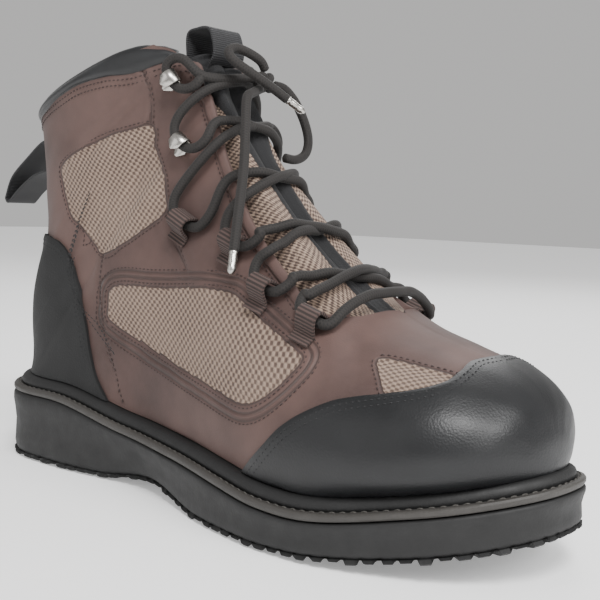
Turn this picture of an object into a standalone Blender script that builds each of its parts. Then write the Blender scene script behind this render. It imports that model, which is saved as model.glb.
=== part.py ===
"""Right wading boot, standing empty on its sole. Metres, +X to the toe, +Z up, lateral side at -Y.

The origin is on the floor, under the middle of the boot's box.
"""

import math

import bmesh
import bpy
import numpy as np
from mathutils import Vector

# Sole and last
SOLE_LENGTH = 0.320
BALL_WIDTH = 0.122
HEEL_TOP = 0.0425  # floor to the upper's lower edge, at the heel
WAIST_TOP = 0.0345
BALL_TOP = 0.0250
TOE_TOP = 0.0420  # this one holds the toe spring too
TOE_SPRING = 0.0165
HEEL_BEVEL = 0.0020
ARCH_RISE = 0.0040
WAIST_TUCK = 0.0060  # how far the waist's lower edge stands in
LAST_INSET = 0.0090  # sole edge to the upper's outer face
WELT_DEPTH = 0.0090  # top of the outsole to the upper's lower edge
WELT_LIP = 0.0020  # how far the welt reaches inside the upper's wall
LUG_DEPTH = 0.0026
LUG_PITCH = 0.0140
LUG_LENGTH = 0.0105
LUG_REACH = 0.0100
LUG_PROUD = 0.0004
TREAD_PITCH = 0.0330
TREAD_BLOCK = 0.0200
HEEL_PAD = (0.026, 0.030)
BALL_PAD = (0.028, 0.034)
PAD_MARGIN = 0.004
INSOLE_THICK = 0.0040
INSOLE_SLACK = 0.0012

# Upper
WALL = 0.0024
COLLAR_BACK = 0.176
COLLAR_FRONT = 0.214
COLLAR_PAD = 0.0072
COLLAR_END = 0.790  # way up the section at which the cuff stops, beside the throat
COLLAR_STATIONS = 9
OVERLAY = 0.0015
GAP = 0.0003
OVERLAY_GAP = 0.0008  # bridges the faces' own small steps
TONGUE_THICK = 0.0036
TONGUE_GAP = 0.0012
TONGUE_SINK = 0.0070
TONGUE_ROLL = 0.0038  # how far it swells beside the throat's edges
TONGUE_ROLL_AT = 0.40  # share of the way from the throat's edge to the ridge
TONGUE_TUCK = 0.07  # share of the section that lies under the upper
TONGUE_TOP = 1.58  # section number of its upper edge
BINDING_WIDTH = 0.0045
BINDING_SHARE = 0.050  # share of the section that the binding takes, at the most

# Fittings
WEBBING = 0.0013
HEEL_LOOP_OVERHANG = 0.0340  # how far the loop's tip stands behind the sole's heel
HEEL_LOOP_WIDTH = 0.0180
HEEL_LOOP_TOP = 0.1660
HEEL_LOOP_LOW = 0.1490
HEEL_LOOP_DROOP = 0.0160  # from its lower seam down to its tip
TONGUE_LOOP_WIDTH = 0.0200
TONGUE_LOOP_RISE = 0.0020  # above the collar's front height
HOOK_WIDTH = 0.0070
HOOK_FOOT = 0.0050  # how far its foot runs back from the bore
HOOK_PLATE_THICK = 0.0010
HOOK_SHEET = 0.0011
HOOK_BORE = 0.0064
HOOK_LIP = 0.0040  # how far its tongue reaches over the lace
SEAT = 0.0007  # under the hooks and the webbing loops
GUIDE_WIDTH = 0.0100
GUIDE_ROOM = 0.0029  # what the webbing loop leaves over the lace
LACE_WIDTH = 0.0044
SPAN_STEPS = 6  # places tried on a cord's course between two of its points
THINNING = 0.0012  # how far a cord's straight pieces may pass from its smooth course
AGLET_LENGTH = 0.0100
KNOT_SIZE = 0.0095

ORIGIN_X = (SOLE_LENGTH - HEEL_LOOP_OVERHANG) / 2

# Shares of the sole's length, then half widths as shares of the ball width
OUTLINE = {
    "length": (0.0, 0.12, 0.24, 0.36, 0.48, 0.60, 0.68, 0.76, 0.86, 1.0),
    "lateral": (0.335, 0.36, 0.36, 0.358, 0.40, 0.47, 0.50, 0.49, 0.415, 0.35),
    "medial": (0.335, 0.357, 0.335, 0.312, 0.35, 0.43, 0.48, 0.50, 0.44, 0.35),
}
HEEL_ROUND = 0.14  # share of the length that the heel's round end takes
TOE_ROUND = 0.18
ROUND_POWER = 2.3

# Height of the upper's lower edge along the length
TOP_LINE = (
    (0.00, HEEL_TOP),
    (0.18, HEEL_TOP),
    (0.36, WAIST_TOP),
    (0.55, (WAIST_TOP + BALL_TOP) / 2),
    (0.72, BALL_TOP),
    (0.88, BALL_TOP + 0.45 * (TOE_TOP - BALL_TOP)),
    (1.00, TOE_TOP),
)

# Sections of the upper from the toe to the collar. Each runs from its foot, on the sole or on the
# back seam, to its ridge, on the middle line in front.
# part, foot's place, ridge along the sole length, ridge height over the collar's front height,
# height of the widest point, lateral and medial half widths over the ball width,
# powers of the rounding upwards and sideways, ridge's shift to medial over the ball width
SECTIONS = (
    ("sole", 1.000, 0.972, 0.196, 0.200, 0.000, 0.000, 2.00, 2.10, 0.000),
    ("sole", 0.985, 0.966, 0.252, 0.300, 0.165, 0.160, 2.00, 2.10, 0.000),
    ("sole", 0.955, 0.950, 0.304, 0.300, 0.290, 0.275, 2.00, 2.10, 0.008),
    ("sole", 0.900, 0.905, 0.349, 0.290, 0.390, 0.365, 2.00, 2.10, 0.016),
    ("sole", 0.820, 0.832, 0.382, 0.280, 0.445, 0.430, 2.00, 2.00, 0.025),
    ("sole", 0.720, 0.754, 0.423, 0.270, 0.458, 0.440, 1.95, 1.95, 0.033),
    ("sole", 0.620, 0.680, 0.496, 0.260, 0.434, 0.410, 1.85, 1.85, 0.040),
    ("sole", 0.500, 0.600, 0.602, 0.260, 0.370, 0.342, 1.80, 1.80, 0.040),
    ("sole", 0.380, 0.533, 0.706, 0.270, 0.306, 0.288, 1.80, 1.80, 0.030),
    ("sole", 0.240, 0.480, 0.803, 0.300, 0.272, 0.262, 1.90, 1.90, 0.025),
    ("sole", 0.100, 0.453, 0.868, 0.335, 0.268, 0.262, 2.00, 2.00, 0.016),
    ("sole", 0.000, 0.441, 0.905, 0.340, 0.264, 0.258, 2.00, 2.00, 0.008),
    ("back", 0.300, 0.432, 0.936, 0.370, 0.258, 0.256, 2.10, 2.10, 0.000),
    ("back", 0.600, 0.420, 0.963, 0.420, 0.262, 0.262, 2.10, 2.10, 0.000),
    ("back", 0.850, 0.411, 0.984, 0.460, 0.272, 0.272, 2.10, 2.10, 0.000),
    ("back", 1.000, 0.405, 1.000, 0.480, 0.282, 0.282, 2.10, 2.10, 0.000),
)
BACK_TURN = 0.9  # how much of the section count the back seam takes
BACK_LINE = ((0.0, 0.028), (0.18, 0.022), (0.45, 0.050), (0.75, 0.043), (1.0, 0.029))
SECTION_STEPS = 60

# Section numbers of the upper's own grid. The overlays share them, so that their faces run along.
ROWS = (
    0.0, 0.03, 0.06, 0.10, 0.15, 0.20, 0.238, 0.265, 0.295, 0.325, 0.35, 0.365, 0.372, 0.385, 0.40,
    0.425, 0.46, 0.50, 0.54, 0.58, 0.62, 0.66, 0.70, 0.75, 0.81, 0.86, 0.91, 0.96, 1.0,
    1.09, 1.20, 1.32, 1.44, 1.56, 1.67, 1.77, 1.846,
)
COLUMNS = 9
COLUMN_EASE = 1.12  # sets the lowest columns closer together
COLLAR_ROW = ROWS[-1]
TONGUE_ROWS = (
    0.32, 0.345, 0.372, 0.40, 0.43, 0.48, 0.54, 0.60, 0.66, 0.73, 0.81, 0.90, 1.0, 1.14, 1.30, 1.44,
    TONGUE_TOP,
)
TONGUE_SHARES = (0.03, 0.40, 0.72)  # columns between the throat's edge and the ridge

# Edge of the throat: section number, share of the way up the section
THROAT = (
    (0.365, 1.00), (0.372, 0.86), (0.385, 0.76), (0.40, 0.70), (0.425, 0.69), (0.46, 0.72),
    (0.54, 0.775), (0.60, 0.825), (0.66, 0.862), (0.72, 0.892), (0.82, 0.915), (1.10, 0.920),
    (1.44, 0.908), (1.54, 0.884), (1.64, 0.862), (1.75, 0.843), (1.80, 0.826), (1.846, 0.800),
    (1.90, 0.780),
)
THROAT_ROW = THROAT[0][0]
# Edges of the overlays: section number, share of the way from the foot to the throat's edge
TOE_CAP_ROW = 0.238  # it runs over the ridge up to here
TOE_CAP_EDGE = (
    (0.238, 0.545), (0.265, 0.509), (0.295, 0.455), (0.325, 0.40), (0.35, 0.336), (0.365, 0.282),
    (0.372, 0.255), (0.385, 0.182), (0.40, 0.082), (0.425, 0.0),
)
COUNTER_EDGE = (
    (0.62, 0.0), (0.66, 0.050), (0.70, 0.137), (0.75, 0.250), (0.81, 0.329), (0.86, 0.370),
    (0.91, 0.399), (0.96, 0.419), (1.0, 0.430), (1.09, 0.430), (1.20, 0.380), (1.32, 0.295),
    (1.44, 0.200),
)

# Lacing, from the bottom: kind, section number, share of the way up the section
GUIDES = (
    ("loop", 0.405, 0.630),
    ("loop", 0.475, 0.630),
    ("loop", 0.545, 0.690),
    ("loop", 0.640, 0.635),
    ("hook", 0.763, 0.791),
    ("hook", 1.386, 0.837),
)


def smooth(places, values, at):
    """A smooth line through the values, level at their local highs and lows."""
    places = np.asarray(places, float)
    values = np.asarray(values, float)
    at = np.asarray(at, float)
    step = np.diff(places)
    slope = np.diff(values) / step
    tangent = np.concatenate(([slope[0]], slope[1:], [slope[-1]]))
    inner = (slope[:-1] * step[1:] + slope[1:] * step[:-1]) / (step[1:] + step[:-1])
    tangent[1:-1] = np.where(slope[:-1] * slope[1:] <= 0, 0, inner)
    i = np.clip(np.searchsorted(places, at) - 1, 0, len(step) - 1)
    t = (at - places[i]) / step[i]
    start = (1 + 2 * t) * (1 - t) ** 2 * values[i] + t * (1 - t) ** 2 * step[i] * tangent[i]
    end = t * t * (3 - 2 * t) * values[i + 1] + t * t * (t - 1) * step[i] * tangent[i + 1]
    return start + end


def from_table(table, at):
    """A smooth line through a table of pairs, held at its ends."""
    places, values = zip(*table)
    return smooth(places, values, np.clip(at, places[0], places[-1]))


def halves(share, inset=0.0):
    """Lateral and medial half widths at a share of the length, for an outline set in by inset."""
    share = np.asarray(share, float)
    heel = np.clip(1 - share / HEEL_ROUND, 0, 1)
    toe = np.clip(1 - (1 - share) / TOE_ROUND, 0, 1)
    ends = ((1 - heel**ROUND_POWER) * (1 - toe**ROUND_POWER)) ** (1 / ROUND_POWER)
    lateral = smooth(OUTLINE["length"], OUTLINE["lateral"], share) * BALL_WIDTH - inset
    medial = smooth(OUTLINE["length"], OUTLINE["medial"], share) * BALL_WIDTH - inset
    return lateral * ends, medial * ends


def top_height(x):
    """Height of the upper's lower edge at x from the heel."""
    return from_table(TOP_LINE, np.asarray(x) / SOLE_LENGTH)


def ground(x):
    """Height of the tread's lowest faces at x from the heel: nothing under heel and ball."""
    share = np.asarray(x, float) / SOLE_LENGTH
    toe = TOE_SPRING * (np.clip(share - 0.67, 0, 1) / 0.33) ** 2
    heel = HEEL_BEVEL * (np.clip(0.05 - share, 0, 1) / 0.05) ** 2
    arch = ARCH_RISE * np.sin(np.pi * np.clip((share - 0.28) / 0.26, 0, 1)) ** 2
    return toe + heel + arch


def section_lines(u):
    """Every section's own numbers at the section numbers u."""
    places = []
    for part, place, *_ in SECTIONS:
        on_sole = 1 - math.acos(1 - 2 * place) / math.pi
        places.append(on_sole if part == "sole" else 1 + BACK_TURN * place)
    columns = np.array([row[2:] for row in SECTIONS]).T
    scales = (SOLE_LENGTH, COLLAR_FRONT, 1, BALL_WIDTH, BALL_WIDTH, 1, 1, BALL_WIDTH)
    return [scale * smooth(places, column, u) for scale, column in zip(scales, columns)]


def surface(u, v, side):
    """Points of the upper's outer form. u numbers the section, 0 at the toe, 1 at the heel and
    1.9 at the collar; v is the way up it, 0 at its foot and 1 on the ridge; side is -1 lateral."""
    u, v, side = np.broadcast_arrays(*(np.atleast_1d(a).astype(float) for a in (u, v, side)))
    ridge_x, ridge_z, belly, lateral, medial, up, across, shift = section_lines(u)
    share = (1 + np.cos(np.pi * np.clip(u, 0, 1))) / 2
    foot_x = LAST_INSET + share * (SOLE_LENGTH - 2 * LAST_INSET)
    foot_z = top_height(foot_x)
    foot_lateral, foot_medial = halves(share, LAST_INSET)
    foot_y = np.where(u <= 1, np.where(side < 0, foot_lateral, foot_medial), 0)
    rise = np.clip((u - 1) / BACK_TURN, 0, 1)
    heel_z = top_height(LAST_INSET)
    foot_x = np.where(u <= 1, foot_x, from_table(BACK_LINE, rise) * SOLE_LENGTH)
    foot_z = np.where(u <= 1, foot_z, heel_z + rise * (COLLAR_BACK - heel_z))
    wide = np.maximum(np.where(side < 0, lateral, medial), foot_y * 1.001) + 1e-9
    turn = np.linspace(0, np.pi / 2, SECTION_STEPS)[None]
    low = 1 - np.cos(turn)
    flare = (1 - (foot_y / wide) ** ROUND_POWER)[:, None]
    low_y = (1 - flare * (1 - low) ** ROUND_POWER).clip(0) ** (1 / ROUND_POWER)
    high = belly[:, None] + (1 - belly[:, None]) * np.sin(turn) ** (2 / up[:, None])
    high_y = np.cos(turn).clip(0) ** (2 / across[:, None])
    way = np.concatenate([belly[:, None] * low, high[:, 1:]], 1)
    out = np.concatenate([low_y, high_y[:, 1:]], 1) * wide[:, None]
    bend = way * way * (3 - 2 * way)
    points = np.stack([
        foot_x[:, None] + (ridge_x - foot_x)[:, None] * way,
        side[:, None] * out + shift[:, None] * bend,
        foot_z[:, None] + (ridge_z - foot_z)[:, None] * way,
    ], -1)
    run = np.linalg.norm(np.diff(points, axis=1), axis=2).cumsum(1)
    run = np.concatenate([np.zeros((len(u), 1)), run], 1)
    want = v * run[:, -1]
    i = np.clip((run <= want[:, None]).sum(1) - 1, 0, run.shape[1] - 2)
    row = np.arange(len(u))
    t = ((want - run[row, i]) / np.maximum(run[row, i + 1] - run[row, i], 1e-12))[:, None]
    return points[row, i] * (1 - t) + points[row, i + 1] * t


def outward(u, v, side):
    """Unit normals of the upper's outer form."""
    u, v, side = np.broadcast_arrays(*(np.atleast_1d(a).astype(float) for a in (u, v, side)))
    u_here = np.clip(u, 0.02, 1 + BACK_TURN)
    ahead = np.clip(u_here + 0.02, 0, 1 + BACK_TURN)
    along = surface(ahead, v, side) - surface(np.clip(u_here - 0.02, 0.001, 2), v, side)
    up = surface(u_here, np.clip(v + 0.02, 0, 1), side) - surface(u_here, np.clip(v - 0.02, 0, 1), side)
    normal = np.cross(up, along) * -side[:, None]
    on_ridge = v >= 1
    on_seam = (v <= 0) & (u >= 1)
    normal[on_ridge | on_seam, 1] = 0
    normal[(v <= 0) & (u <= 1), 2] = 0
    normal[u <= 0] = (1, 0, 0)
    return normal / np.linalg.norm(normal, axis=1)[:, None]


def lifted(u, v, side, lift):
    """Points that stand off the upper's outer form by lift."""
    points = surface(u, v, side) + outward(u, v, side) * np.atleast_1d(lift)[:, None]
    flat = (np.atleast_1d(v) <= 0) & (np.atleast_1d(u) <= 1)
    points[flat, 2] = top_height(points[flat, 0])
    return points


def finish(name, mesh, material, smooth_angle=35):
    """An object from a bmesh, with its origin moved to the middle of the boot."""
    bmesh.ops.recalc_face_normals(mesh, faces=mesh.faces)
    bmesh.ops.translate(mesh, verts=mesh.verts, vec=(-ORIGIN_X, 0, 0))
    data = bpy.data.meshes.new(name)
    mesh.to_mesh(data)
    mesh.free()
    data.shade_smooth()
    data.set_sharp_from_angle(angle=math.radians(smooth_angle))
    data.materials.append(material)
    obj = bpy.data.objects.new(name, data)
    bpy.context.collection.objects.link(obj)
    return obj


def mesh_of(points, faces):
    mesh = bmesh.new()
    verts = [mesh.verts.new(p) for p in points]
    for face in faces:
        mesh.faces.new([verts[i] for i in face])
    return mesh


class Sheet:
    """A patch of the upper's form, kept as section numbers, ways up and sides."""

    def __init__(self):
        self.index = {}
        self.u = []
        self.v = []
        self.side = []
        self.faces = []

    def point(self, u, v, side):
        """The patch's point here. Both sides share the ridge, the back seam and the toe's tip."""
        if u <= 0:
            v = 0.0
        shared = v >= 1 or (v <= 0 and u >= 1) or u <= 0
        key = (round(u, 5), round(v, 5), 0 if shared else side)
        if key not in self.index:
            self.index[key] = len(self.u)
            self.u.append(u)
            self.v.append(v)
            self.side.append(side)
        return self.index[key]

    def grid(self, rows, columns, side):
        """Faces between rows of (section number, ways up), out to the given side."""
        for (u0, ways0), (u1, ways1) in zip(rows, rows[1:]):
            for j in range(columns):
                loop = [
                    self.point(u0, ways0[j], side),
                    self.point(u0, ways0[j + 1], side),
                    self.point(u1, ways1[j + 1], side),
                    self.point(u1, ways1[j], side),
                ]
                for face in (loop[:3], [loop[0], loop[2], loop[3]]):
                    if len(set(face)) == 3:
                        self.faces.append(face if side < 0 else face[::-1])

    def solid(self, name, material, outer, inner):
        """The closed solid between two forms, each a number or a function of u and v."""
        u, v, side = (np.array(a, float) for a in (self.u, self.v, self.side))
        lifts = [f(u, v) if callable(f) else np.full(len(u), f) for f in (outer, inner)]
        points = np.concatenate([lifted(u, v, side, lift) for lift in lifts])
        count = len(u)
        edges = {}
        for face in self.faces:
            for k, a in enumerate(face):
                edges[(a, face[(k + 1) % len(face)])] = True
        faces = [list(face) for face in self.faces]
        faces += [[count + i for i in reversed(face)] for face in self.faces]
        faces += [[b, a, count + a, count + b] for a, b in edges if (b, a) not in edges]
        return finish(name, mesh_of(points, faces), material)


def clipped(u, full, low=0.0, high=1.0):
    """The upper's own columns in a section, held between two edges."""
    ways = [full * (j / COLUMNS) ** COLUMN_EASE for j in range(COLUMNS + 1)]
    return [min(max(way, low), high) for way in ways]


def throat_edge(u):
    return 1.0 if u <= THROAT_ROW else float(from_table(THROAT, u))


def material(name, colour, roughness, metallic=0.0):
    made = bpy.data.materials.new(name)
    made.use_nodes = True
    shader = made.node_tree.nodes["Principled BSDF"]
    shader.inputs["Base Color"].default_value = (*colour, 1)
    shader.inputs["Roughness"].default_value = roughness
    shader.inputs["Metallic"].default_value = metallic
    return made


def outline_loop(inset, rows=None):
    """Points x, y round the sole's outline set in by inset, from the heel along the lateral side.
    They stand at the upper's own sections, so that what meets along the edge has the same faces."""
    numbers = np.array([u for u in ROWS if u <= 1][::-1]) if rows is None else np.linspace(1, 0, rows)
    share = (1 + np.cos(np.pi * numbers)) / 2
    lateral, medial = halves(share, inset)
    x = inset + share * (SOLE_LENGTH - 2 * inset)
    there = np.stack([x, -lateral], 1)
    back = np.stack([x, medial], 1)[-2:0:-1]
    return np.concatenate([there, back])


def ring_faces(rings, count, closed):
    """Quads that join each ring to the next, and the last to the first if closed."""
    faces = []
    pairs = rings if closed else rings - 1
    for r in range(pairs):
        a, b = r * count, ((r + 1) % rings) * count
        for k in range(count):
            n = (k + 1) % count
            faces.append([a + k, a + n, b + n, b + k])
    return faces


def sole_solid():
    """The rubber wedge with its side, a raised seat inside the welt, and its lugs."""
    seat = LAST_INSET + WALL + WELT_LIP + GAP
    side = ((0.0, 0.0035), (0.10, 0.0008), (0.50, 0.0012), (0.84, 0.0), (0.93, 0.0), (1.0, 0.0006))
    points = []
    for height, inset in side:
        loop = outline_loop(inset)
        x = loop[:, 0]
        share = x / SOLE_LENGTH
        tuck = WAIST_TUCK * (1 - height) * np.sin(np.pi * np.clip((share - 0.18) / 0.40, 0, 1)) ** 2
        y = loop[:, 1] - np.sign(loop[:, 1]) * tuck
        low = ground(x) + LUG_DEPTH
        high = top_height(x) - WELT_DEPTH
        points.append(np.stack([x, y, low + height * (high - low)], 1))
    for drop in (WELT_DEPTH, GAP):
        loop = outline_loop(seat)
        points.append(np.stack([loop[:, 0], loop[:, 1], top_height(loop[:, 0]) - drop], 1))
    count = len(points[0])
    faces = ring_faces(len(points), count, False)
    half = count // 2
    for base in (0, (len(points) - 1) * count):
        faces.append([base, base + 1, base + count - 1])
        for k in range(1, half - 1):
            faces.append([base + k, base + k + 1, base + count - k - 1, base + count - k])
        faces.append([base + half - 1, base + half, base + half + 1])
    body = finish("outsole", mesh_of(np.concatenate(points), faces), RUBBER)
    cutter = finish("lug_shapes", mesh_of(*lug_blocks()), RUBBER)
    cutter.hide_render = True
    cutter.display_type = "WIRE"
    join = body.modifiers.new("lugs", "BOOLEAN")
    join.operation = "UNION"
    join.object = cutter
    return body


def lug_blocks():
    """Corners and faces of the edge lugs, the tread blocks and the two flat pads."""
    rim = outline_loop(-LUG_PROUD, 201)
    inner = outline_loop(LUG_REACH, 201)
    x = rim[:, 0] / SOLE_LENGTH
    tuck = WAIST_TUCK * np.sin(np.pi * np.clip((x - 0.18) / 0.40, 0, 1)) ** 2
    rim = np.stack([rim[:, 0], rim[:, 1] - np.sign(rim[:, 1]) * tuck], 1)
    inner = np.stack([inner[:, 0], inner[:, 1] - np.sign(inner[:, 1]) * tuck], 1)
    step = np.linalg.norm(np.diff(np.concatenate([rim, rim[:1]]), axis=0), axis=1)
    run = np.concatenate([[0], step.cumsum()])
    number = round(run[-1] / LUG_PITCH)
    quads = []
    for k in range(number):
        start = k * run[-1] / number
        ends = [int(np.searchsorted(run, start + d)) % len(rim) for d in (0.0008, LUG_LENGTH)]
        quads.append([rim[ends[0]], rim[ends[1]], inner[ends[1]], inner[ends[0]]])
    pads = ((HEEL_PAD, 0.14), (BALL_PAD, 0.60))
    for (length, width), share in pads:
        x = share * SOLE_LENGTH
        quads.append([(x + i * length / 2, j * width / 2) for i, j in ((-1, -1), (1, -1), (1, 1), (-1, 1))])
    half = TREAD_BLOCK / 2
    for i in range(1, int(SOLE_LENGTH / TREAD_PITCH)):
        x = (i + 0.25) * TREAD_PITCH
        lateral, medial = halves((x - LUG_REACH) / (SOLE_LENGTH - 2 * LUG_REACH), LUG_REACH)
        room = min(float(lateral), float(medial)) - WAIST_TUCK - half - 0.002
        for j in range(-2, 3):
            y = (j + 0.5 * (i % 2)) * TREAD_PITCH
            near_pad = any(
                abs(x - share * SOLE_LENGTH) < size[0] / 2 + half + PAD_MARGIN
                and abs(y) < size[1] / 2 + half + PAD_MARGIN
                for size, share in pads
            )
            if abs(y) < room and not near_pad:
                quads.append([(x - half, y), (x, y - half), (x + half, y), (x, y + half)])
    points = []
    faces = []
    for quad in quads:
        base = len(points)
        low = [float(ground(p[0])) for p in quad]
        points += [(p[0], p[1], z) for p, z in zip(quad, low)]
        points += [(p[0], p[1], z + LUG_DEPTH + 0.0010) for p, z in zip(quad, low)]
        faces += [[base + 3, base + 2, base + 1, base], [base + 4, base + 5, base + 6, base + 7]]
        for k in range(4):
            n = (k + 1) % 4
            faces.append([base + k, base + n, base + 4 + n, base + 4 + k])
    return points, faces


def welt_ring():
    """Flat stitched band with a round bead inside it, all round the upper's lower edge."""
    profile = (
        (0.0004, 2 * GAP), (0.0004, 0.0036), (0.0030, 0.0036), (0.0032, 0.0064), (0.0044, 0.0088),
        (0.0058, WELT_DEPTH - 2 * GAP), (LAST_INSET + WALL + WELT_LIP, WELT_DEPTH - 2 * GAP),
        (LAST_INSET + WALL + WELT_LIP, 2 * GAP),
    )
    points = []
    for inset, height in profile:
        loop = outline_loop(inset)
        z = top_height(loop[:, 0]) - WELT_DEPTH + height
        points.append(np.stack([loop[:, 0], loop[:, 1], z], 1))
    faces = ring_faces(len(profile), len(points[0]), True)
    return finish("welt", mesh_of(np.concatenate(points), faces), WELT)


def insole_plate():
    """Flat footbed that follows the seat, with a rounded upper edge."""
    edge = LAST_INSET + WALL + INSOLE_SLACK
    layers = ((edge, GAP), (edge, INSOLE_THICK * 0.6), (edge + 0.0012, INSOLE_THICK))
    points = []
    for inset, height in layers:
        loop = outline_loop(inset)
        points.append(np.stack([loop[:, 0], loop[:, 1], top_height(loop[:, 0]) + height], 1))
    count = len(points[0])
    faces = ring_faces(len(layers), count, False)
    half = count // 2
    for base in (0, (len(layers) - 1) * count):
        faces.append([base, base + 1, base + count - 1])
        for k in range(1, half - 1):
            faces.append([base + k, base + k + 1, base + count - k - 1, base + count - k])
        faces.append([base + half - 1, base + half, base + half + 1])
    return finish("insole", mesh_of(np.concatenate(points), faces), FOAM)


def upper_shell():
    """The hollow upper: open underneath, at the throat and at the collar."""
    sheet = Sheet()
    rows = [(u, clipped(u, throat_edge(u))) for u in ROWS]
    for side in (-1, 1):
        sheet.grid(rows, COLUMNS, side)
    return sheet.solid("upper", NUBUCK, 0.0, -WALL)


def overlay(name, edge, finish_material, full_to=None):
    """A piece laid on the upper, from its lower edge or back seam to its own edge."""
    sheet = Sheet()
    ends = [edge[0][0], edge[-1][0]]
    rows = []
    for u in ROWS:
        if ends[0] <= u <= ends[1]:
            full = throat_edge(u)
            rows.append((u, clipped(u, full, 0.0, full * float(np.interp(u, *zip(*edge))))))
    whole = [(u, clipped(u, 1.0)) for u in ROWS if full_to is not None and u <= full_to]
    for side in (-1, 1):
        sheet.grid(whole, COLUMNS, side)
        sheet.grid(rows, COLUMNS, side)
    return sheet.solid(name, finish_material, OVERLAY_GAP + OVERLAY, OVERLAY_GAP)


def binding(name, side):
    """The stitched strip along the throat's edge."""
    sheet = Sheet()
    rows = []
    for u in ROWS:
        if u < 0.42:
            continue
        high = throat_edge(u)
        length = float(section_length(u, side))
        rows.append((u, [high - BINDING_WIDTH / length, high]))
    sheet.grid(rows, 1, side)
    return sheet.solid(name, NUBUCK, OVERLAY_GAP + OVERLAY, OVERLAY_GAP)


def section_length(u, side):
    """Length of a section from its foot to the ridge."""
    ways = np.linspace(0, 1, 40)
    points = surface(np.full(40, u), ways, np.full(40, side))
    return np.linalg.norm(np.diff(points, axis=0), axis=1).sum()


def collar_ring():
    """Padded cuff on the upper's upper edge, rolled over to the inside."""
    start = (COLLAR_ROW - 1) / BACK_TURN
    end = 1.0
    part = end - start
    profile = (
        (start + 0.10 * part, -0.0002), (start + 0.45 * part, 0.0010), (start + 0.85 * part, 0.0004),
        (end, -0.0022), (end - 0.1 * part, -0.7 * COLLAR_PAD), (start + 0.3 * part, -COLLAR_PAD),
        (start - 1.0 * part, -COLLAR_PAD), (start - 2.0 * part, -0.75 * COLLAR_PAD),
        (start - 2.0 * part, -WALL - 2 * OVERLAY_GAP), (start + 0.10 * part, -WALL - OVERLAY_GAP),
    )
    stations = []
    for side in (-1, 1):
        ways = [COLLAR_END * j / COLLAR_STATIONS for j in range(COLLAR_STATIONS + 1)]
        stations.append([(side, way) for way in ways])
    line = stations[0][::-1] + stations[1][1:]
    points = []
    for side, way in line:
        u = np.array([1 + BACK_TURN * share for share, _ in profile])
        lift = np.array([out for _, out in profile])
        points.append(lifted(u, np.full(len(u), way), np.full(len(u), float(side)), lift))
    count = len(profile)
    faces = []
    for s in range(len(line) - 1):
        for k in range(count):
            n = (k + 1) % count
            faces.append([s * count + k, s * count + n, (s + 1) * count + n, (s + 1) * count + k])
    faces.append(list(range(count)))
    faces.append(list(range((len(line) - 1) * count, len(line) * count))[::-1])
    mesh = mesh_of(np.concatenate(points), faces)
    bmesh.ops.triangulate(mesh, faces=[f for f in mesh.faces if len(f.verts) > 4])
    return finish("collar", mesh, CUFF)


def tongue_point_lift(u, v):
    """How deep the tongue lies: tucked under the upper, swollen beside it, sunk in the middle."""
    edge = np.array([throat_edge(a) for a in u])
    across = np.clip((v - edge) / np.maximum(1 - edge, 1e-6), 0, 1)
    roll = from_table(((0.0, 0.0), (TONGUE_ROLL_AT, 1.0), (1.0, 0.0)), across)
    high = TONGUE_ROLL * from_table(((0.40, 0.0), (0.50, 1.0), (1.20, 1.0), (1.30, 0.3), (1.40, 0.0)), u)
    sunk = from_table(((TONGUE_ROLL_AT, 0.0), (0.75, 0.7), (1.0, 1.0)), across)
    depth = TONGUE_SINK * from_table(((0.30, 0.0), (0.40, 0.35), (0.52, 1.0), (0.72, 1.0), (1.2, 0.5),
                                      (1.9, 0.25)), u)
    return -WALL - TONGUE_GAP + high * roll - depth * sunk


def tongue_sheet():
    """Padded tongue under the throat, from below the vamp to above the collar."""
    sheet = Sheet()
    rows = []
    for u in TONGUE_ROWS:
        edge = throat_edge(max(u, TONGUE_ROWS[2]))
        ways = [edge + share * (1 - edge) for share in TONGUE_SHARES]
        rows.append((u, [max(edge - TONGUE_TUCK, 0.62), *ways, 1.0]))
    for side in (-1, 1):
        sheet.grid(rows, len(TONGUE_SHARES) + 1, side)
    return sheet.solid("tongue", MESH, tongue_point_lift,
                       lambda u, v: tongue_point_lift(u, v) - TONGUE_THICK)


def swept(name, stations, section, finish_material, closed=False):
    """A band or bar: its section, given in a frame's two directions, carried along stations of
    (centre, first direction, second direction)."""
    points = []
    for centre, first, second in stations:
        points += [centre + first * a + second * b for a, b in section]
    count = len(section)
    faces = []
    pairs = len(stations) if closed else len(stations) - 1
    for s in range(pairs):
        a, b = s * count, ((s + 1) % len(stations)) * count
        for k in range(count):
            n = (k + 1) % count
            faces.append([a + k, a + n, b + n, b + k])
    if not closed:
        faces.append(list(range(count)))
        last = (len(stations) - 1) * count
        faces.append(list(range(last, last + count))[::-1])
    return finish(name, mesh_of(points, faces), finish_material)


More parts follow.
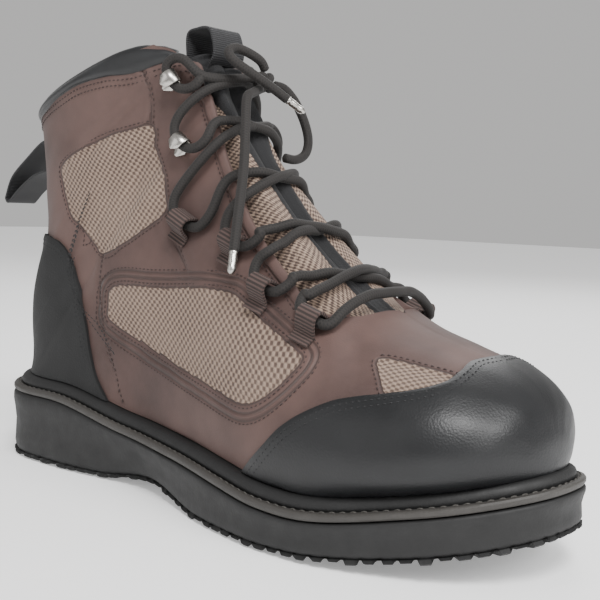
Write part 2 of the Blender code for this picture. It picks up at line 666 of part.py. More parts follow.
def heel_loop():
    """Webbing loop at the back seam, sewn on above and below, its tip bent back and down."""
    rise = (COLLAR_BACK - HEEL_TOP) / BACK_TURN
    heights = (HEEL_LOOP_TOP + 0.0030, HEEL_LOOP_TOP, HEEL_LOOP_LOW, HEEL_LOOP_LOW - 0.008)
    numbers = [1 + (z - HEEL_TOP) / rise for z in heights]
    stand = [GAP + WEBBING / 2] * 4
    above, start, end, below = (Vector(p) for p in lifted(numbers, [0.0] * 4, [-1.0] * 4, stand))
    tip = Vector((-HEEL_LOOP_OVERHANG + WEBBING / 2, 0, HEEL_LOOP_LOW - HEEL_LOOP_DROOP))
    route = [
        above, start, start + Vector((-0.009, 0, -0.0015)),
        start + Vector((-0.022, 0, -0.0095)), tip + Vector((0.0065, 0, 0.0130)),
        tip + Vector((0.0006, 0, 0.0028)), tip, tip + Vector((0.0030, 0, -0.0012)),
        tip + Vector((0.012, 0, 0.0052)), tip + Vector((0.026, 0, 0.0130)),
        end + Vector((-0.0050, 0, 0.0008)), end + Vector((-0.0006, 0, -0.0010)), below,
    ]
    return band("heel_pull_loop", route, HEEL_LOOP_WIDTH, BLACK_WEB)


def band(name, route, width, finish_material):
    """A flat strip of webbing along a route in the middle plane, its width across the boot."""
    stations = []
    for i, here in enumerate(route):
        before = route[max(i - 1, 0)]
        after = route[min(i + 1, len(route) - 1)]
        way = (after - before).normalized()
        across = Vector((0, 1, 0))
        stations.append((here, across, way.cross(across)))
    half, thick = width / 2, WEBBING / 2
    return swept(name, stations, ((-half, -thick), (half, -thick), (half, thick), (-half, thick)),
                 finish_material)


def tongue_loop():
    """Folded webbing loop that leans forward over the tongue's upper edge."""
    top = tongue_line(TONGUE_TOP)
    front = tongue_line(TONGUE_TOP - 0.16)
    high = COLLAR_FRONT + TONGUE_LOOP_RISE - WEBBING / 2
    behind = -TONGUE_THICK - 0.0055
    route = [
        front + Vector((0.0020, 0, -0.0010)), front + Vector((0.0046, 0, 0.0022)),
        Vector((top[0] + 0.0068, 0, high - 0.0085)), Vector((top[0] + 0.0046, 0, high - 0.0020)),
        Vector((top[0] + 0.0020, 0, high)), Vector((top[0] - 0.0040, 0, high)),
        Vector((top[0] + behind - 0.0018, 0, high - 0.0022)),
        Vector((top[0] + behind - 0.0016, 0, top[2] - 0.0020)),
        Vector((top[0] + behind - 0.0018, 0, top[2] - 0.0100)),
    ]
    return band("tongue_pull_loop", route, TONGUE_LOOP_WIDTH, BLACK_WEB)


def tongue_line(u):
    """Point of the tongue's face on the middle line."""
    lift = tongue_point_lift(np.array([u]), np.array([1.0]))
    return Vector(lifted([u], [1.0], [-1.0], lift)[0])


def frame_at(u, v, side):
    """Place on the upper, with its directions away from the throat, up along it and outwards."""
    here = Vector(surface(u, v, side)[0])
    out = Vector(outward(u, v, side)[0])
    down = Vector(surface(u, v - 0.03, side)[0]) - here
    away = (down - out * down.dot(out)).normalized()
    rise = out.cross(away)
    if rise.dot(Vector(surface(u + 0.02, v, side)[0]) - here) < 0:
        rise.negate()
    return here, away, rise, out


def lace_hook(name, u, v, side):
    """A metal hook: a flat plate with a curled tongue that is open away from the throat."""
    here, away, along, out = frame_at(u, v, side)
    radius = HOOK_BORE / 2 + HOOK_SHEET / 2
    centre = here + out * (SEAT + HOOK_PLATE_THICK + radius)
    route = [centre + away * HOOK_FOOT - out * radius, centre - out * radius]
    for k in range(1, 6):
        turn = math.pi * k / 5
        route.append(centre - away * (radius * math.sin(turn)) - out * (radius * math.cos(turn)))
    route.append(centre + away * HOOK_LIP + out * (radius - HOOK_SHEET / 3))
    stations = []
    for i, point in enumerate(route):
        way = (route[min(i + 1, len(route) - 1)] - route[max(i - 1, 0)]).normalized()
        stations.append((point, along, way.cross(along)))
    half, sheet = HOOK_WIDTH / 2, HOOK_SHEET / 2
    return swept(name, stations, ((-half, -sheet), (half, -sheet), (half, sheet), (-half, sheet)),
                 METAL)


def lace_guide(name, u, v, side):
    """A short webbing loop, sewn flat on the upper with its tunnel along the throat."""
    here, away, along, out = frame_at(u, v, side)
    rise = LACE_WIDTH + GUIDE_ROOM + WEBBING / 2
    base = SEAT + WEBBING / 2
    shape = ((0.0105, base), (0.0060, base), (0.0040, rise * 0.6 + base), (0.0020, rise + base),
             (-0.0016, rise + base), (-0.0034, rise * 0.6 + base), (-0.0040, base + 0.0002))
    route = [here + away * a + out * b for a, b in shape]
    stations = []
    for i, point in enumerate(route):
        way = (route[min(i + 1, len(route) - 1)] - route[max(i - 1, 0)]).normalized()
        stations.append((point, along, way.cross(along)))
    half, thick = GUIDE_WIDTH / 2, WEBBING / 2
    return swept(name, stations, ((-half, -thick), (half, -thick), (half, thick), (-half, thick)),
                 WEB)


def lace_place(u, v, side, away=0.0, rise=0.0, lift=0.0):
    """A point of the lace, from a place on the upper and steps off it."""
    here, away_way, rise_way, out = frame_at(u, v, side)
    return here + away_way * away + rise_way * rise + out * lift


def turn_points(level, side, upwards):
    """The lace's turn round a guide, from its lower side to its upper one or the other way."""
    kind, u, v = GUIDES[level]
    if kind == "hook":
        steps = ((-0.0105, -0.0100, 0.0060), (-0.0020, -0.0074, 0.0053), (0.0005, 0.0, 0.0051),
                 (-0.0020, 0.0074, 0.0053), (-0.0105, 0.0100, 0.0060))
    else:
        steps = ((-0.0105, -0.0110, 0.0045), (-0.0010, -0.0080, 0.0036), (0.0002, 0.0, 0.0034),
                 (-0.0010, 0.0080, 0.0036), (-0.0105, 0.0110, 0.0045))
    if level == len(GUIDES) - 1:
        steps = (*steps[:-1], (-0.0105, 0.0050, 0.0060))
    points = [lace_place(u, v, side, *step) for step in steps]
    return points if upwards else points[::-1]


def crossing_points(low, side, over):
    """The lace's way over the tongue, from a guide up to the next level on the other side."""
    u_low, u_high = GUIDES[low][1], GUIDES[low + 1][1]
    rest = LACE_WIDTH / 2 + OVERLAY + OVERLAY_GAP + 3 * GAP
    ends = []
    for share, s in ((0.30, side), (0.70, -side)):
        u = u_low + share * (u_high - u_low)
        ends.append(lace_place(u, throat_edge(u) - 0.004, s, lift=rest))
    u = (u_low + u_high) / 2
    middle = (ends[0] + ends[1]) / 2
    ridge = lace_place(u, 1.0, -1)
    out = Vector(outward(u, 1.0, -1)[0])
    floor = float(tongue_point_lift(np.array([u]), np.array([1.0]))[0]) + LACE_WIDTH / 2 + 0.0010
    depth = max((middle - ridge).dot(out), floor)
    middle += out * (depth - (middle - ridge).dot(out) + (LACE_WIDTH + 2 * GAP if over else 0))
    return [ends[0], middle, ends[1]]


def lacing_route():
    """The whole lace from the knot, down through the guides, across the vamp and up again."""
    top = len(GUIDES) - 1
    route = [KNOT + Vector((-0.0013, -0.0061, 0.0013)), lace_place(1.15, 0.925, -1, lift=0.0060)]
    side = -1
    for level in range(top, 0, -1):
        route += turn_points(level, side, False)
        route += crossing_points(level - 1, -side, False)[::-1]
        side = -side
    route += turn_points(0, side, False)[:-1]
    for v in (0.74, 0.87):
        route.append(lace_place(0.387, v, side, lift=0.0036))
    route.append(lace_place(0.384, 1.0, side, lift=0.0040))
    for v in (0.87, 0.74):
        route.append(lace_place(0.387, v, -side, lift=0.0036))
    side = -side
    route += turn_points(0, side, True)[1:]
    for level in range(1, top + 1):
        route += crossing_points(level - 1, side, True)
        side = -side
        route += turn_points(level, side, True)
    route += [lace_place(1.15, 0.925, 1, lift=0.0060), KNOT + Vector((-0.0034, 0.0055, 0.0005))]
    return route


def resting_faces():
    """Points and outward normals of what the lace lies on: the upper with its overlays, and the
    tongue inside the throat."""
    points = []
    normals = []
    for u in np.linspace(0.33, TONGUE_TOP, 90):
        edge = throat_edge(u)
        on_upper = np.linspace(0.55, edge, 26)
        on_tongue = np.linspace(edge + 0.01, 1.0, 14) if edge < 1 else np.zeros(0)
        ways = np.concatenate([on_upper, on_tongue])
        sunk = tongue_point_lift(np.full(len(on_tongue), u), on_tongue)
        bound = edge - on_upper < BINDING_SHARE
        lifts = np.concatenate([np.where(bound, OVERLAY_GAP + OVERLAY, 0.0), sunk])
        for side in (-1.0, 1.0):
            points.append(lifted(np.full(len(ways), u), ways, np.full(len(ways), side), lifts))
            normals.append(outward(np.full(len(ways), u), ways, np.full(len(ways), side)))
    return np.concatenate(points), np.concatenate(normals)


def pushed(points, clearance):
    """The points, each moved out until it stands that far off what lies under the lace."""
    faces, normals = resting_faces()
    moved = []
    for point in points:
        for _ in range(3):
            near = int(((faces - np.array(point)) ** 2).sum(1).argmin())
            off = (point - Vector(faces[near])).dot(Vector(normals[near]))
            if off < clearance:
                point = point + Vector(normals[near]) * (clearance - off)
        moved.append(point)
    return moved


def smoothed(route, clearance=None):
    """Points on a smooth curve through the route, as few as keep it within THINNING."""
    points = [Vector(p) for p in route]
    points = [points[0] * 2 - points[1], *points, points[-1] * 2 - points[-2]]
    dense = []
    for a, b, c, d in zip(points, points[1:], points[2:], points[3:]):
        for k in range(SPAN_STEPS):
            t = k / SPAN_STEPS
            dense.append(0.5 * (2 * b + (c - a) * t + (2 * a - 5 * b + 4 * c - d) * t**2
                                + (3 * b - a - 3 * c + d) * t**3))
    dense.append(points[-2])
    if clearance is not None:
        dense = pushed(dense, clearance)
    return thinned(dense)


def thinned(points):
    """The points without those that the straight lines between the others pass close by."""
    first, last = points[0], points[-1]
    if len(points) < 3:
        return points
    way = last - first
    offs = []
    for point in points[1:-1]:
        t = min(max((point - first).dot(way) / max(way.length_squared, 1e-12), 0), 1)
        offs.append((point - first - way * t).length)
    worst = max(range(len(offs)), key=offs.__getitem__)
    if offs[worst] < THINNING:
        return [first, last]
    return thinned(points[: worst + 2])[:-1] + thinned(points[worst + 1 :])


def cord(name, route, finish_material, width=LACE_WIDTH, clearance=None):
    """A round cord along a route, as a curve with a bevel and closed ends."""
    points = smoothed(route, clearance)
    curve = bpy.data.curves.new(name, "CURVE")
    curve.dimensions = "3D"
    curve.bevel_depth = width / 2
    curve.bevel_resolution = 1
    curve.use_fill_caps = True
    spline = curve.splines.new("POLY")
    spline.points.add(len(points) - 1)
    for target, point in zip(spline.points, points):
        target.co = (point[0] - ORIGIN_X, point[1], point[2], 1)
    curve.materials.append(finish_material)
    obj = bpy.data.objects.new(name, curve)
    bpy.context.collection.objects.link(obj)
    return obj


def aglet(name, route):
    """The metal tip just past the end of a cord's route, in line with it."""
    end, before = Vector(route[-1]), Vector(route[-2])
    way = (end - before).normalized()
    start = end + way * GAP
    return cord(name, [start, start + way * AGLET_LENGTH], METAL, LACE_WIDTH * 0.8)


def knot_lump():
    """The tied knot, as one lump between the cords that leave it."""
    mesh = bmesh.new()
    bmesh.ops.create_icosphere(mesh, subdivisions=2, radius=KNOT_SIZE / 2)
    bmesh.ops.scale(mesh, verts=mesh.verts, vec=(0.9, 1.15, 1.0))
    bmesh.ops.translate(mesh, verts=mesh.verts, vec=KNOT)
    return finish("lace_knot", mesh, CORD)


for old in list(bpy.data.objects):
    bpy.data.objects.remove(old)

RUBBER = material("sole_rubber", (0.018, 0.018, 0.019), 0.75)
WELT = material("welt_rubber", (0.075, 0.070, 0.062), 0.65)
NUBUCK = material("brown_nubuck", (0.155, 0.095, 0.088), 0.85)
BLACK = material("black_overlay", (0.020, 0.021, 0.024), 0.55)
CUFF = material("black_cuff", (0.014, 0.015, 0.018), 0.60)
MESH = material("tan_mesh", (0.36, 0.27, 0.21), 0.85)
FOAM = material("footbed_foam", (0.05, 0.05, 0.052), 0.90)
WEB = material("brown_webbing", (0.07, 0.045, 0.04), 0.85)
BLACK_WEB = material("black_webbing", (0.022, 0.022, 0.022), 0.80)
CORD = material("lace_cord", (0.040, 0.035, 0.032), 0.80)
METAL = material("bright_metal", (0.62, 0.60, 0.57), 0.25, 1.0)

KNOT = Vector((0.1490, 0.0110, 0.1915))
END_A = [
    Vector((0.1502, 0.0068, 0.1879)),
    Vector((0.1545, -0.0030, 0.1848)),
    Vector((0.1582, -0.0100, 0.1815)),
    Vector((0.1632, -0.0155, 0.1680)),
    Vector((0.1682, -0.0210, 0.1503)),
    Vector((0.1755, -0.0310, 0.1306)),
    Vector((0.1794, -0.0372, 0.1146)),
]
END_B = [
    Vector((0.1501, 0.0100, 0.1974)),
    Vector((0.1500, 0.0072, 0.2008)),
    Vector((0.1478, 0.0010, 0.2040)),
    Vector((0.1460, -0.0058, 0.2054)),
    Vector((0.1466, -0.0110, 0.2028)),
    Vector((0.1500, -0.0100, 0.1986)),
    Vector((0.1547, -0.0022, 0.1932)),
    Vector((0.1586, 0.0063, 0.1880)),
    Vector((0.1618, 0.0130, 0.1834)),
]
LOOP = [
    Vector((0.1508, 0.0162, 0.1906)),
    Vector((0.1535, 0.0205, 0.1893)),
    Vector((0.1572, 0.0245, 0.1830)),
    Vector((0.1608, 0.0272, 0.1740)),
    Vector((0.1624, 0.0286, 0.1655)),
    Vector((0.1622, 0.0270, 0.1590)),
    Vector((0.1612, 0.0215, 0.1560)),
    Vector((0.1600, 0.0150, 0.1565)),
]

sole_solid()
welt_ring()
insole_plate()
upper_shell()
overlay("toe_cap", TOE_CAP_EDGE, BLACK, TOE_CAP_ROW)
overlay("heel_counter", COUNTER_EDGE, BLACK)
collar_ring()
tongue_sheet()
for word, which in (("lateral", -1), ("medial", 1)):
    binding(f"throat_binding_{word}", which)
    for number, (kind, section, way_up) in enumerate(GUIDES):
        make = lace_hook if kind == "hook" else lace_guide
        make(f"lace_{kind}_{word}_{number + 1}", section, way_up, which)
heel_loop()
tongue_loop()
cord("lace_rows", lacing_route(), CORD, clearance=LACE_WIDTH / 2 + GAP + THINNING)
knot_lump()
cord("lace_end_a", END_A, CORD)
cord("lace_end_b", END_B, CORD)
cord("lace_loop", LOOP, CORD)
aglet("aglet_a", END_A)
aglet("aglet_b", END_B)
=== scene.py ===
"""The looks of the right wading boot: leather, mesh, laces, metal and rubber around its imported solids.

Metres. The boot's own lengths run from the heel's back, x = 0, and ORIGIN_X moves them to the frame.
"""

import math

import bpy
import numpy as np
from mathutils import Matrix, Vector
from mathutils.kdtree import KDTree


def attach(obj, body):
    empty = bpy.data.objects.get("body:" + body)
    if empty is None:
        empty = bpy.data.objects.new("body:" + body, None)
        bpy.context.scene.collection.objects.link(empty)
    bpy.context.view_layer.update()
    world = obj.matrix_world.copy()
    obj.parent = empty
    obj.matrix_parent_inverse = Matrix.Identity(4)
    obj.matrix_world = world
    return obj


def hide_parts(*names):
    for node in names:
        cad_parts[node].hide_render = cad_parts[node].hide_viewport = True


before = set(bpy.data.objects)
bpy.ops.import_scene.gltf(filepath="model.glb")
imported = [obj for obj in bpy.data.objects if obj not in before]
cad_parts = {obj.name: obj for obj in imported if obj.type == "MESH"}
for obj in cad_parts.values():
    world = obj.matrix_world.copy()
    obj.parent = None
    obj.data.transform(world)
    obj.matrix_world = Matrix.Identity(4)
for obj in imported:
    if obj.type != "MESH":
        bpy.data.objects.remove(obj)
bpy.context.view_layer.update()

# Sole and last, as in the part
SOLE_LENGTH = 0.320
BALL_WIDTH = 0.122
HEEL_TOP = 0.0425
WAIST_TOP = 0.0345
BALL_TOP = 0.0250
TOE_TOP = 0.0420
TOE_SPRING = 0.0165
HEEL_BEVEL = 0.0020
ARCH_RISE = 0.0040
WAIST_TUCK = 0.0060
LAST_INSET = 0.0090
WELT_DEPTH = 0.0090
WELT_LIP = 0.0020
LUG_DEPTH = 0.0026
LUG_PITCH = 0.0140
LUG_REACH = 0.0100
TREAD_PITCH = 0.0330
TREAD_BLOCK = 0.0200
HEEL_PAD = (0.026, 0.030)
BALL_PAD = (0.028, 0.034)
PAD_MARGIN = 0.004
WALL = 0.0024
COLLAR_BACK = 0.176
COLLAR_FRONT = 0.214
GAP = 0.0003
OVERLAY_GAP = 0.0008
OVERLAY = 0.0015
TONGUE_THICK = 0.0036
TONGUE_GAP = 0.0012
TONGUE_SINK = 0.0070
TONGUE_ROLL = 0.0038
TONGUE_ROLL_AT = 0.40
TONGUE_TOP = 1.58
BINDING_WIDTH = 0.0045
BINDING_SHARE = 0.050
COLLAR_PAD = 0.0072
HEEL_LOOP_WIDTH = 0.0180
HEEL_LOOP_TOP = 0.1660
HEEL_LOOP_LOW = 0.1490
HEEL_LOOP_DROOP = 0.0160
TONGUE_LOOP_WIDTH = 0.0200
TONGUE_LOOP_RISE = 0.0020
HOOK_WIDTH = 0.0070
HOOK_FOOT_LENGTH = 0.0100
HOOK_PLATE_THICK = 0.0010
HOOK_SEAT = 0.0004
HOOK_SHEET = 0.0011
HOOK_BORE = 0.0064
GUIDE_WIDTH = 0.0100
GUIDE_ROOM = 0.0029
GUIDE_SEAT = 0.0004
AGLET_LENGTH = 0.0100
KNOT_SIZE = 0.0095
LACE_REST = 0.0026
WEBBING = 0.0013
LACE_WIDTH = 0.0044
HEEL_LOOP_OVERHANG = 0.0340
ORIGIN_X = (SOLE_LENGTH - HEEL_LOOP_OVERHANG) / 2

OUTLINE = {
    "length": (0.0, 0.12, 0.24, 0.36, 0.48, 0.60, 0.68, 0.76, 0.86, 1.0),
    "lateral": (0.335, 0.36, 0.36, 0.358, 0.40, 0.47, 0.50, 0.49, 0.415, 0.35),
    "medial": (0.335, 0.357, 0.335, 0.312, 0.35, 0.43, 0.48, 0.50, 0.44, 0.35),
}
HEEL_ROUND = 0.14
TOE_ROUND = 0.18
ROUND_POWER = 2.3
TOP_LINE = (
    (0.00, HEEL_TOP),
    (0.18, HEEL_TOP),
    (0.36, WAIST_TOP),
    (0.55, (WAIST_TOP + BALL_TOP) / 2),
    (0.72, BALL_TOP),
    (0.88, BALL_TOP + 0.45 * (TOE_TOP - BALL_TOP)),
    (1.00, TOE_TOP),
)
# Sections of the upper from the toe to the collar. Each runs from its foot, on the sole or on the
# back seam, to its ridge, on the middle line in front.
# part, foot's place, ridge along the sole length, ridge height over the collar's front height,
# height of the widest point, lateral and medial half widths over the ball width,
# powers of the rounding upwards and sideways, ridge's shift to medial over the ball width
SECTIONS = (
    ("sole", 1.000, 0.972, 0.196, 0.200, 0.000, 0.000, 2.00, 2.10, 0.000),
    ("sole", 0.985, 0.966, 0.252, 0.300, 0.165, 0.160, 2.00, 2.10, 0.000),
    ("sole", 0.955, 0.950, 0.304, 0.300, 0.290, 0.275, 2.00, 2.10, 0.008),
    ("sole", 0.900, 0.905, 0.349, 0.290, 0.390, 0.365, 2.00, 2.10, 0.016),
    ("sole", 0.820, 0.832, 0.382, 0.280, 0.445, 0.430, 2.00, 2.00, 0.025),
    ("sole", 0.720, 0.754, 0.423, 0.270, 0.458, 0.440, 1.95, 1.95, 0.033),
    ("sole", 0.620, 0.680, 0.496, 0.260, 0.434, 0.410, 1.85, 1.85, 0.040),
    ("sole", 0.500, 0.600, 0.602, 0.260, 0.370, 0.342, 1.80, 1.80, 0.040),
    ("sole", 0.380, 0.533, 0.706, 0.270, 0.306, 0.288, 1.80, 1.80, 0.030),
    ("sole", 0.240, 0.480, 0.803, 0.300, 0.272, 0.262, 1.90, 1.90, 0.025),
    ("sole", 0.100, 0.453, 0.868, 0.335, 0.268, 0.262, 2.00, 2.00, 0.016),
    ("sole", 0.000, 0.441, 0.905, 0.340, 0.264, 0.258, 2.00, 2.00, 0.008),
    ("back", 0.300, 0.432, 0.936, 0.370, 0.258, 0.256, 2.10, 2.10, 0.000),
    ("back", 0.600, 0.420, 0.963, 0.420, 0.262, 0.262, 2.10, 2.10, 0.000),
    ("back", 0.850, 0.411, 0.984, 0.460, 0.272, 0.272, 2.10, 2.10, 0.000),
    ("back", 1.000, 0.405, 1.000, 0.480, 0.282, 0.282, 2.10, 2.10, 0.000),
)
BACK_TURN = 0.9  # how much of the section count the back seam takes
BACK_LINE = ((0.0, 0.028), (0.18, 0.022), (0.45, 0.050), (0.75, 0.043), (1.0, 0.029))
SECTION_STEPS = 60

# Edge of the throat: section number, share of the way up the section
THROAT = (
    (0.365, 1.00), (0.372, 0.86), (0.385, 0.76), (0.40, 0.70), (0.425, 0.69), (0.46, 0.72),
    (0.54, 0.775), (0.60, 0.825), (0.66, 0.862), (0.72, 0.892), (0.82, 0.915), (1.10, 0.920),
    (1.44, 0.908), (1.54, 0.884), (1.64, 0.862), (1.75, 0.843), (1.80, 0.826), (1.846, 0.800),
    (1.90, 0.780),
)
THROAT_ROW = THROAT[0][0]
# Lacing, from the bottom: kind, section number, share of the way up the section
GUIDES = (
    ("loop", 0.405, 0.630),
    ("loop", 0.475, 0.630),
    ("loop", 0.545, 0.690),
    ("loop", 0.640, 0.635),
    ("hook", 0.763, 0.791),
    ("hook", 1.386, 0.837),
)


def smooth(places, values, at):
    """A smooth line through the values, level at their local highs and lows."""
    places = np.asarray(places, float)
    values = np.asarray(values, float)
    at = np.asarray(at, float)
    step = np.diff(places)
    slope = np.diff(values) / step
    tangent = np.concatenate(([slope[0]], slope[1:], [slope[-1]]))
    inner = (slope[:-1] * step[1:] + slope[1:] * step[:-1]) / (step[1:] + step[:-1])
    tangent[1:-1] = np.where(slope[:-1] * slope[1:] <= 0, 0, inner)
    i = np.clip(np.searchsorted(places, at) - 1, 0, len(step) - 1)
    t = (at - places[i]) / step[i]
    start = (1 + 2 * t) * (1 - t) ** 2 * values[i] + t * (1 - t) ** 2 * step[i] * tangent[i]
    end = t * t * (3 - 2 * t) * values[i + 1] + t * t * (t - 1) * step[i] * tangent[i + 1]
    return start + end


def from_table(table, at):
    """A smooth line through a table of pairs, held at its ends."""
    places, values = zip(*table)
    return smooth(places, values, np.clip(at, places[0], places[-1]))


def halves(share, inset=0.0):
    """Lateral and medial half widths at a share of the length, for an outline set in by inset."""
    share = np.asarray(share, float)
    heel = np.clip(1 - share / HEEL_ROUND, 0, 1)
    toe = np.clip(1 - (1 - share) / TOE_ROUND, 0, 1)
    ends = ((1 - heel**ROUND_POWER) * (1 - toe**ROUND_POWER)) ** (1 / ROUND_POWER)
    lateral = smooth(OUTLINE["length"], OUTLINE["lateral"], share) * BALL_WIDTH - inset
    medial = smooth(OUTLINE["length"], OUTLINE["medial"], share) * BALL_WIDTH - inset
    return lateral * ends, medial * ends


def top_height(x):
    """Height of the upper's lower edge at x from the heel."""
    return from_table(TOP_LINE, np.asarray(x) / SOLE_LENGTH)


def ground(x):
    """Height of the tread's lowest faces at x from the heel: nothing under heel and ball."""
    share = np.asarray(x, float) / SOLE_LENGTH
    toe = TOE_SPRING * (np.clip(share - 0.67, 0, 1) / 0.33) ** 2
    heel = HEEL_BEVEL * (np.clip(0.05 - share, 0, 1) / 0.05) ** 2
    arch = ARCH_RISE * np.sin(np.pi * np.clip((share - 0.28) / 0.26, 0, 1)) ** 2
    return toe + heel + arch


def section_lines(u):
    """Every section's own numbers at the section numbers u."""
    places = []
    for part, place, *_ in SECTIONS:
        on_sole = 1 - math.acos(1 - 2 * place) / math.pi
        places.append(on_sole if part == "sole" else 1 + BACK_TURN * place)
    columns = np.array([row[2:] for row in SECTIONS]).T
    scales = (SOLE_LENGTH, COLLAR_FRONT, 1, BALL_WIDTH, BALL_WIDTH, 1, 1, BALL_WIDTH)
    return [scale * smooth(places, column, u) for scale, column in zip(scales, columns)]


def surface(u, v, side):
    """Points of the upper's outer form. u numbers the section, 0 at the toe, 1 at the heel and
    1.9 at the collar; v is the way up it, 0 at its foot and 1 on the ridge; side is -1 lateral."""
    u, v, side = np.broadcast_arrays(*(np.atleast_1d(a).astype(float) for a in (u, v, side)))
    ridge_x, ridge_z, belly, lateral, medial, up, across, shift = section_lines(u)
    share = (1 + np.cos(np.pi * np.clip(u, 0, 1))) / 2
    foot_x = LAST_INSET + share * (SOLE_LENGTH - 2 * LAST_INSET)
    foot_z = top_height(foot_x)
    foot_lateral, foot_medial = halves(share, LAST_INSET)
    foot_y = np.where(u <= 1, np.where(side < 0, foot_lateral, foot_medial), 0)
    rise = np.clip((u - 1) / BACK_TURN, 0, 1)
    heel_z = top_height(LAST_INSET)
    foot_x = np.where(u <= 1, foot_x, from_table(BACK_LINE, rise) * SOLE_LENGTH)
    foot_z = np.where(u <= 1, foot_z, heel_z + rise * (COLLAR_BACK - heel_z))
    wide = np.maximum(np.where(side < 0, lateral, medial), foot_y * 1.001) + 1e-9
    turn = np.linspace(0, np.pi / 2, SECTION_STEPS)[None]
    low = 1 - np.cos(turn)
    flare = (1 - (foot_y / wide) ** ROUND_POWER)[:, None]
    low_y = (1 - flare * (1 - low) ** ROUND_POWER).clip(0) ** (1 / ROUND_POWER)
    high = belly[:, None] + (1 - belly[:, None]) * np.sin(turn) ** (2 / up[:, None])
    high_y = np.cos(turn).clip(0) ** (2 / across[:, None])
    way = np.concatenate([belly[:, None] * low, high[:, 1:]], 1)
    out = np.concatenate([low_y, high_y[:, 1:]], 1) * wide[:, None]
    bend = way * way * (3 - 2 * way)
    points = np.stack([
        foot_x[:, None] + (ridge_x - foot_x)[:, None] * way,
        side[:, None] * out + shift[:, None] * bend,
        foot_z[:, None] + (ridge_z - foot_z)[:, None] * way,
    ], -1)
    run = np.linalg.norm(np.diff(points, axis=1), axis=2).cumsum(1)
    run = np.concatenate([np.zeros((len(u), 1)), run], 1)
    want = v * run[:, -1]
    i = np.clip((run <= want[:, None]).sum(1) - 1, 0, run.shape[1] - 2)
    row = np.arange(len(u))
    t = ((want - run[row, i]) / np.maximum(run[row, i + 1] - run[row, i], 1e-12))[:, None]
    return points[row, i] * (1 - t) + points[row, i + 1] * t


def outward(u, v, side):
    """Unit normals of the upper's outer form."""
    u, v, side = np.broadcast_arrays(*(np.atleast_1d(a).astype(float) for a in (u, v, side)))
    u_here = np.clip(u, 0.02, 1 + BACK_TURN)
    ahead = np.clip(u_here + 0.02, 0, 1 + BACK_TURN)
    along = surface(ahead, v, side) - surface(np.clip(u_here - 0.02, 0.001, 2), v, side)
    up = surface(u_here, np.clip(v + 0.02, 0, 1), side) - surface(u_here, np.clip(v - 0.02, 0, 1), side)
    normal = np.cross(up, along) * -side[:, None]
    on_ridge = v >= 1
    on_seam = (v <= 0) & (u >= 1)
    normal[on_ridge | on_seam, 1] = 0
    normal[(v <= 0) & (u <= 1), 2] = 0
    normal[u <= 0] = (1, 0, 0)
    return normal / np.linalg.norm(normal, axis=1)[:, None]


def lifted(u, v, side, lift):
    """Points that stand off the upper's outer form by lift."""
    points = surface(u, v, side) + outward(u, v, side) * np.atleast_1d(lift)[:, None]
    flat = (np.atleast_1d(v) <= 0) & (np.atleast_1d(u) <= 1)
    points[flat, 2] = top_height(points[flat, 0])
    return points


# The photo's panels and lines on the upper, as section numbers and ways up
ANKLE_PANEL = (
    (1.188, 0.755), (1.379, 0.642), (1.474, 0.547), (1.544, 0.428), (1.563, 0.346), (1.525, 0.338),
    (1.404, 0.358), (1.258, 0.409), (1.140, 0.458), (1.060, 0.484), (1.020, 0.495), (1.000, 0.501),
    (0.980, 0.490), (0.960, 0.482), (0.920, 0.468), (0.860, 0.448), (0.807, 0.432), (0.756, 0.478),
    (0.724, 0.535), (0.699, 0.597), (0.699, 0.629), (0.718, 0.654), (0.794, 0.711), (1.023, 0.762),
)
SIDE_PANEL = (
    (0.686, 0.245), (0.585, 0.239), (0.502, 0.239), (0.450, 0.239), (0.428, 0.250), (0.412, 0.290),
    (0.400, 0.358), (0.393, 0.430), (0.391, 0.480), (0.398, 0.508), (0.438, 0.528), (0.477, 0.541),
    (0.505, 0.552), (0.525, 0.545), (0.578, 0.484), (0.648, 0.403), (0.718, 0.346), (0.710, 0.290),
)
VAMP_PANEL = (
    (0.318, 0.648), (0.270, 0.690), (0.222, 0.704), (0.222, 0.572), (0.270, 0.480), (0.300, 0.560),
)
TOE_LINE = (  # way up, section number
    (0.0, 0.411), (0.138, 0.388), (0.250, 0.370), (0.330, 0.350), (0.403, 0.324), (0.478, 0.280),
    (0.547, 0.248), (0.623, 0.231), (0.730, 0.229), (0.849, 0.234), (0.950, 0.231), (1.0, 0.230),
)
COUNTER_LINE = (  # section number, way up
    (0.640, 0.0), (0.674, 0.062), (0.699, 0.122), (0.737, 0.208), (0.788, 0.282), (0.860, 0.343),
    (0.900, 0.369), (0.940, 0.389), (0.970, 0.405), (1.000, 0.423), (1.030, 0.418), (1.060, 0.409),
    (1.100, 0.397), (1.140, 0.382), (1.180, 0.364), (1.271, 0.305), (1.366, 0.225), (1.430, 0.140),
    (1.465, 0.0),
)
CUFF_LINE = (  # share of the way to the throat's edge, section number
    (0.0, 1.873), (0.302, 1.871), (0.476, 1.863), (0.611, 1.856), (0.690, 1.830), (0.748, 1.797),
    (0.800, 1.745), (0.836, 1.715), (0.875, 1.690), (0.920, 1.672), (0.955, 1.640), (0.980, 1.590),
    (1.0, 1.520),
)
CUFF_TOP = (  # share of the way to the throat's edge, section number
    (0.0, 1.9), (0.80, 1.9), (0.90, 1.890), (0.94, 1.878), (0.965, 1.856), (0.985, 1.800), (1.0, 1.700),
)
QUARTER_SEAM = (
    (0.807, 0.432), (0.740, 0.300), (0.686, 0.176), (0.652, 0.106), (0.630, 0.038), (0.615, 0.0),
)
COLLAR_SEAM = ((1.690, 0.740), (1.500, 0.752), (1.300, 0.757), (1.188, 0.755))
MIDDLE_SEAM = ((0.699, 0.629), (0.640, 0.560), (0.600, 0.520))

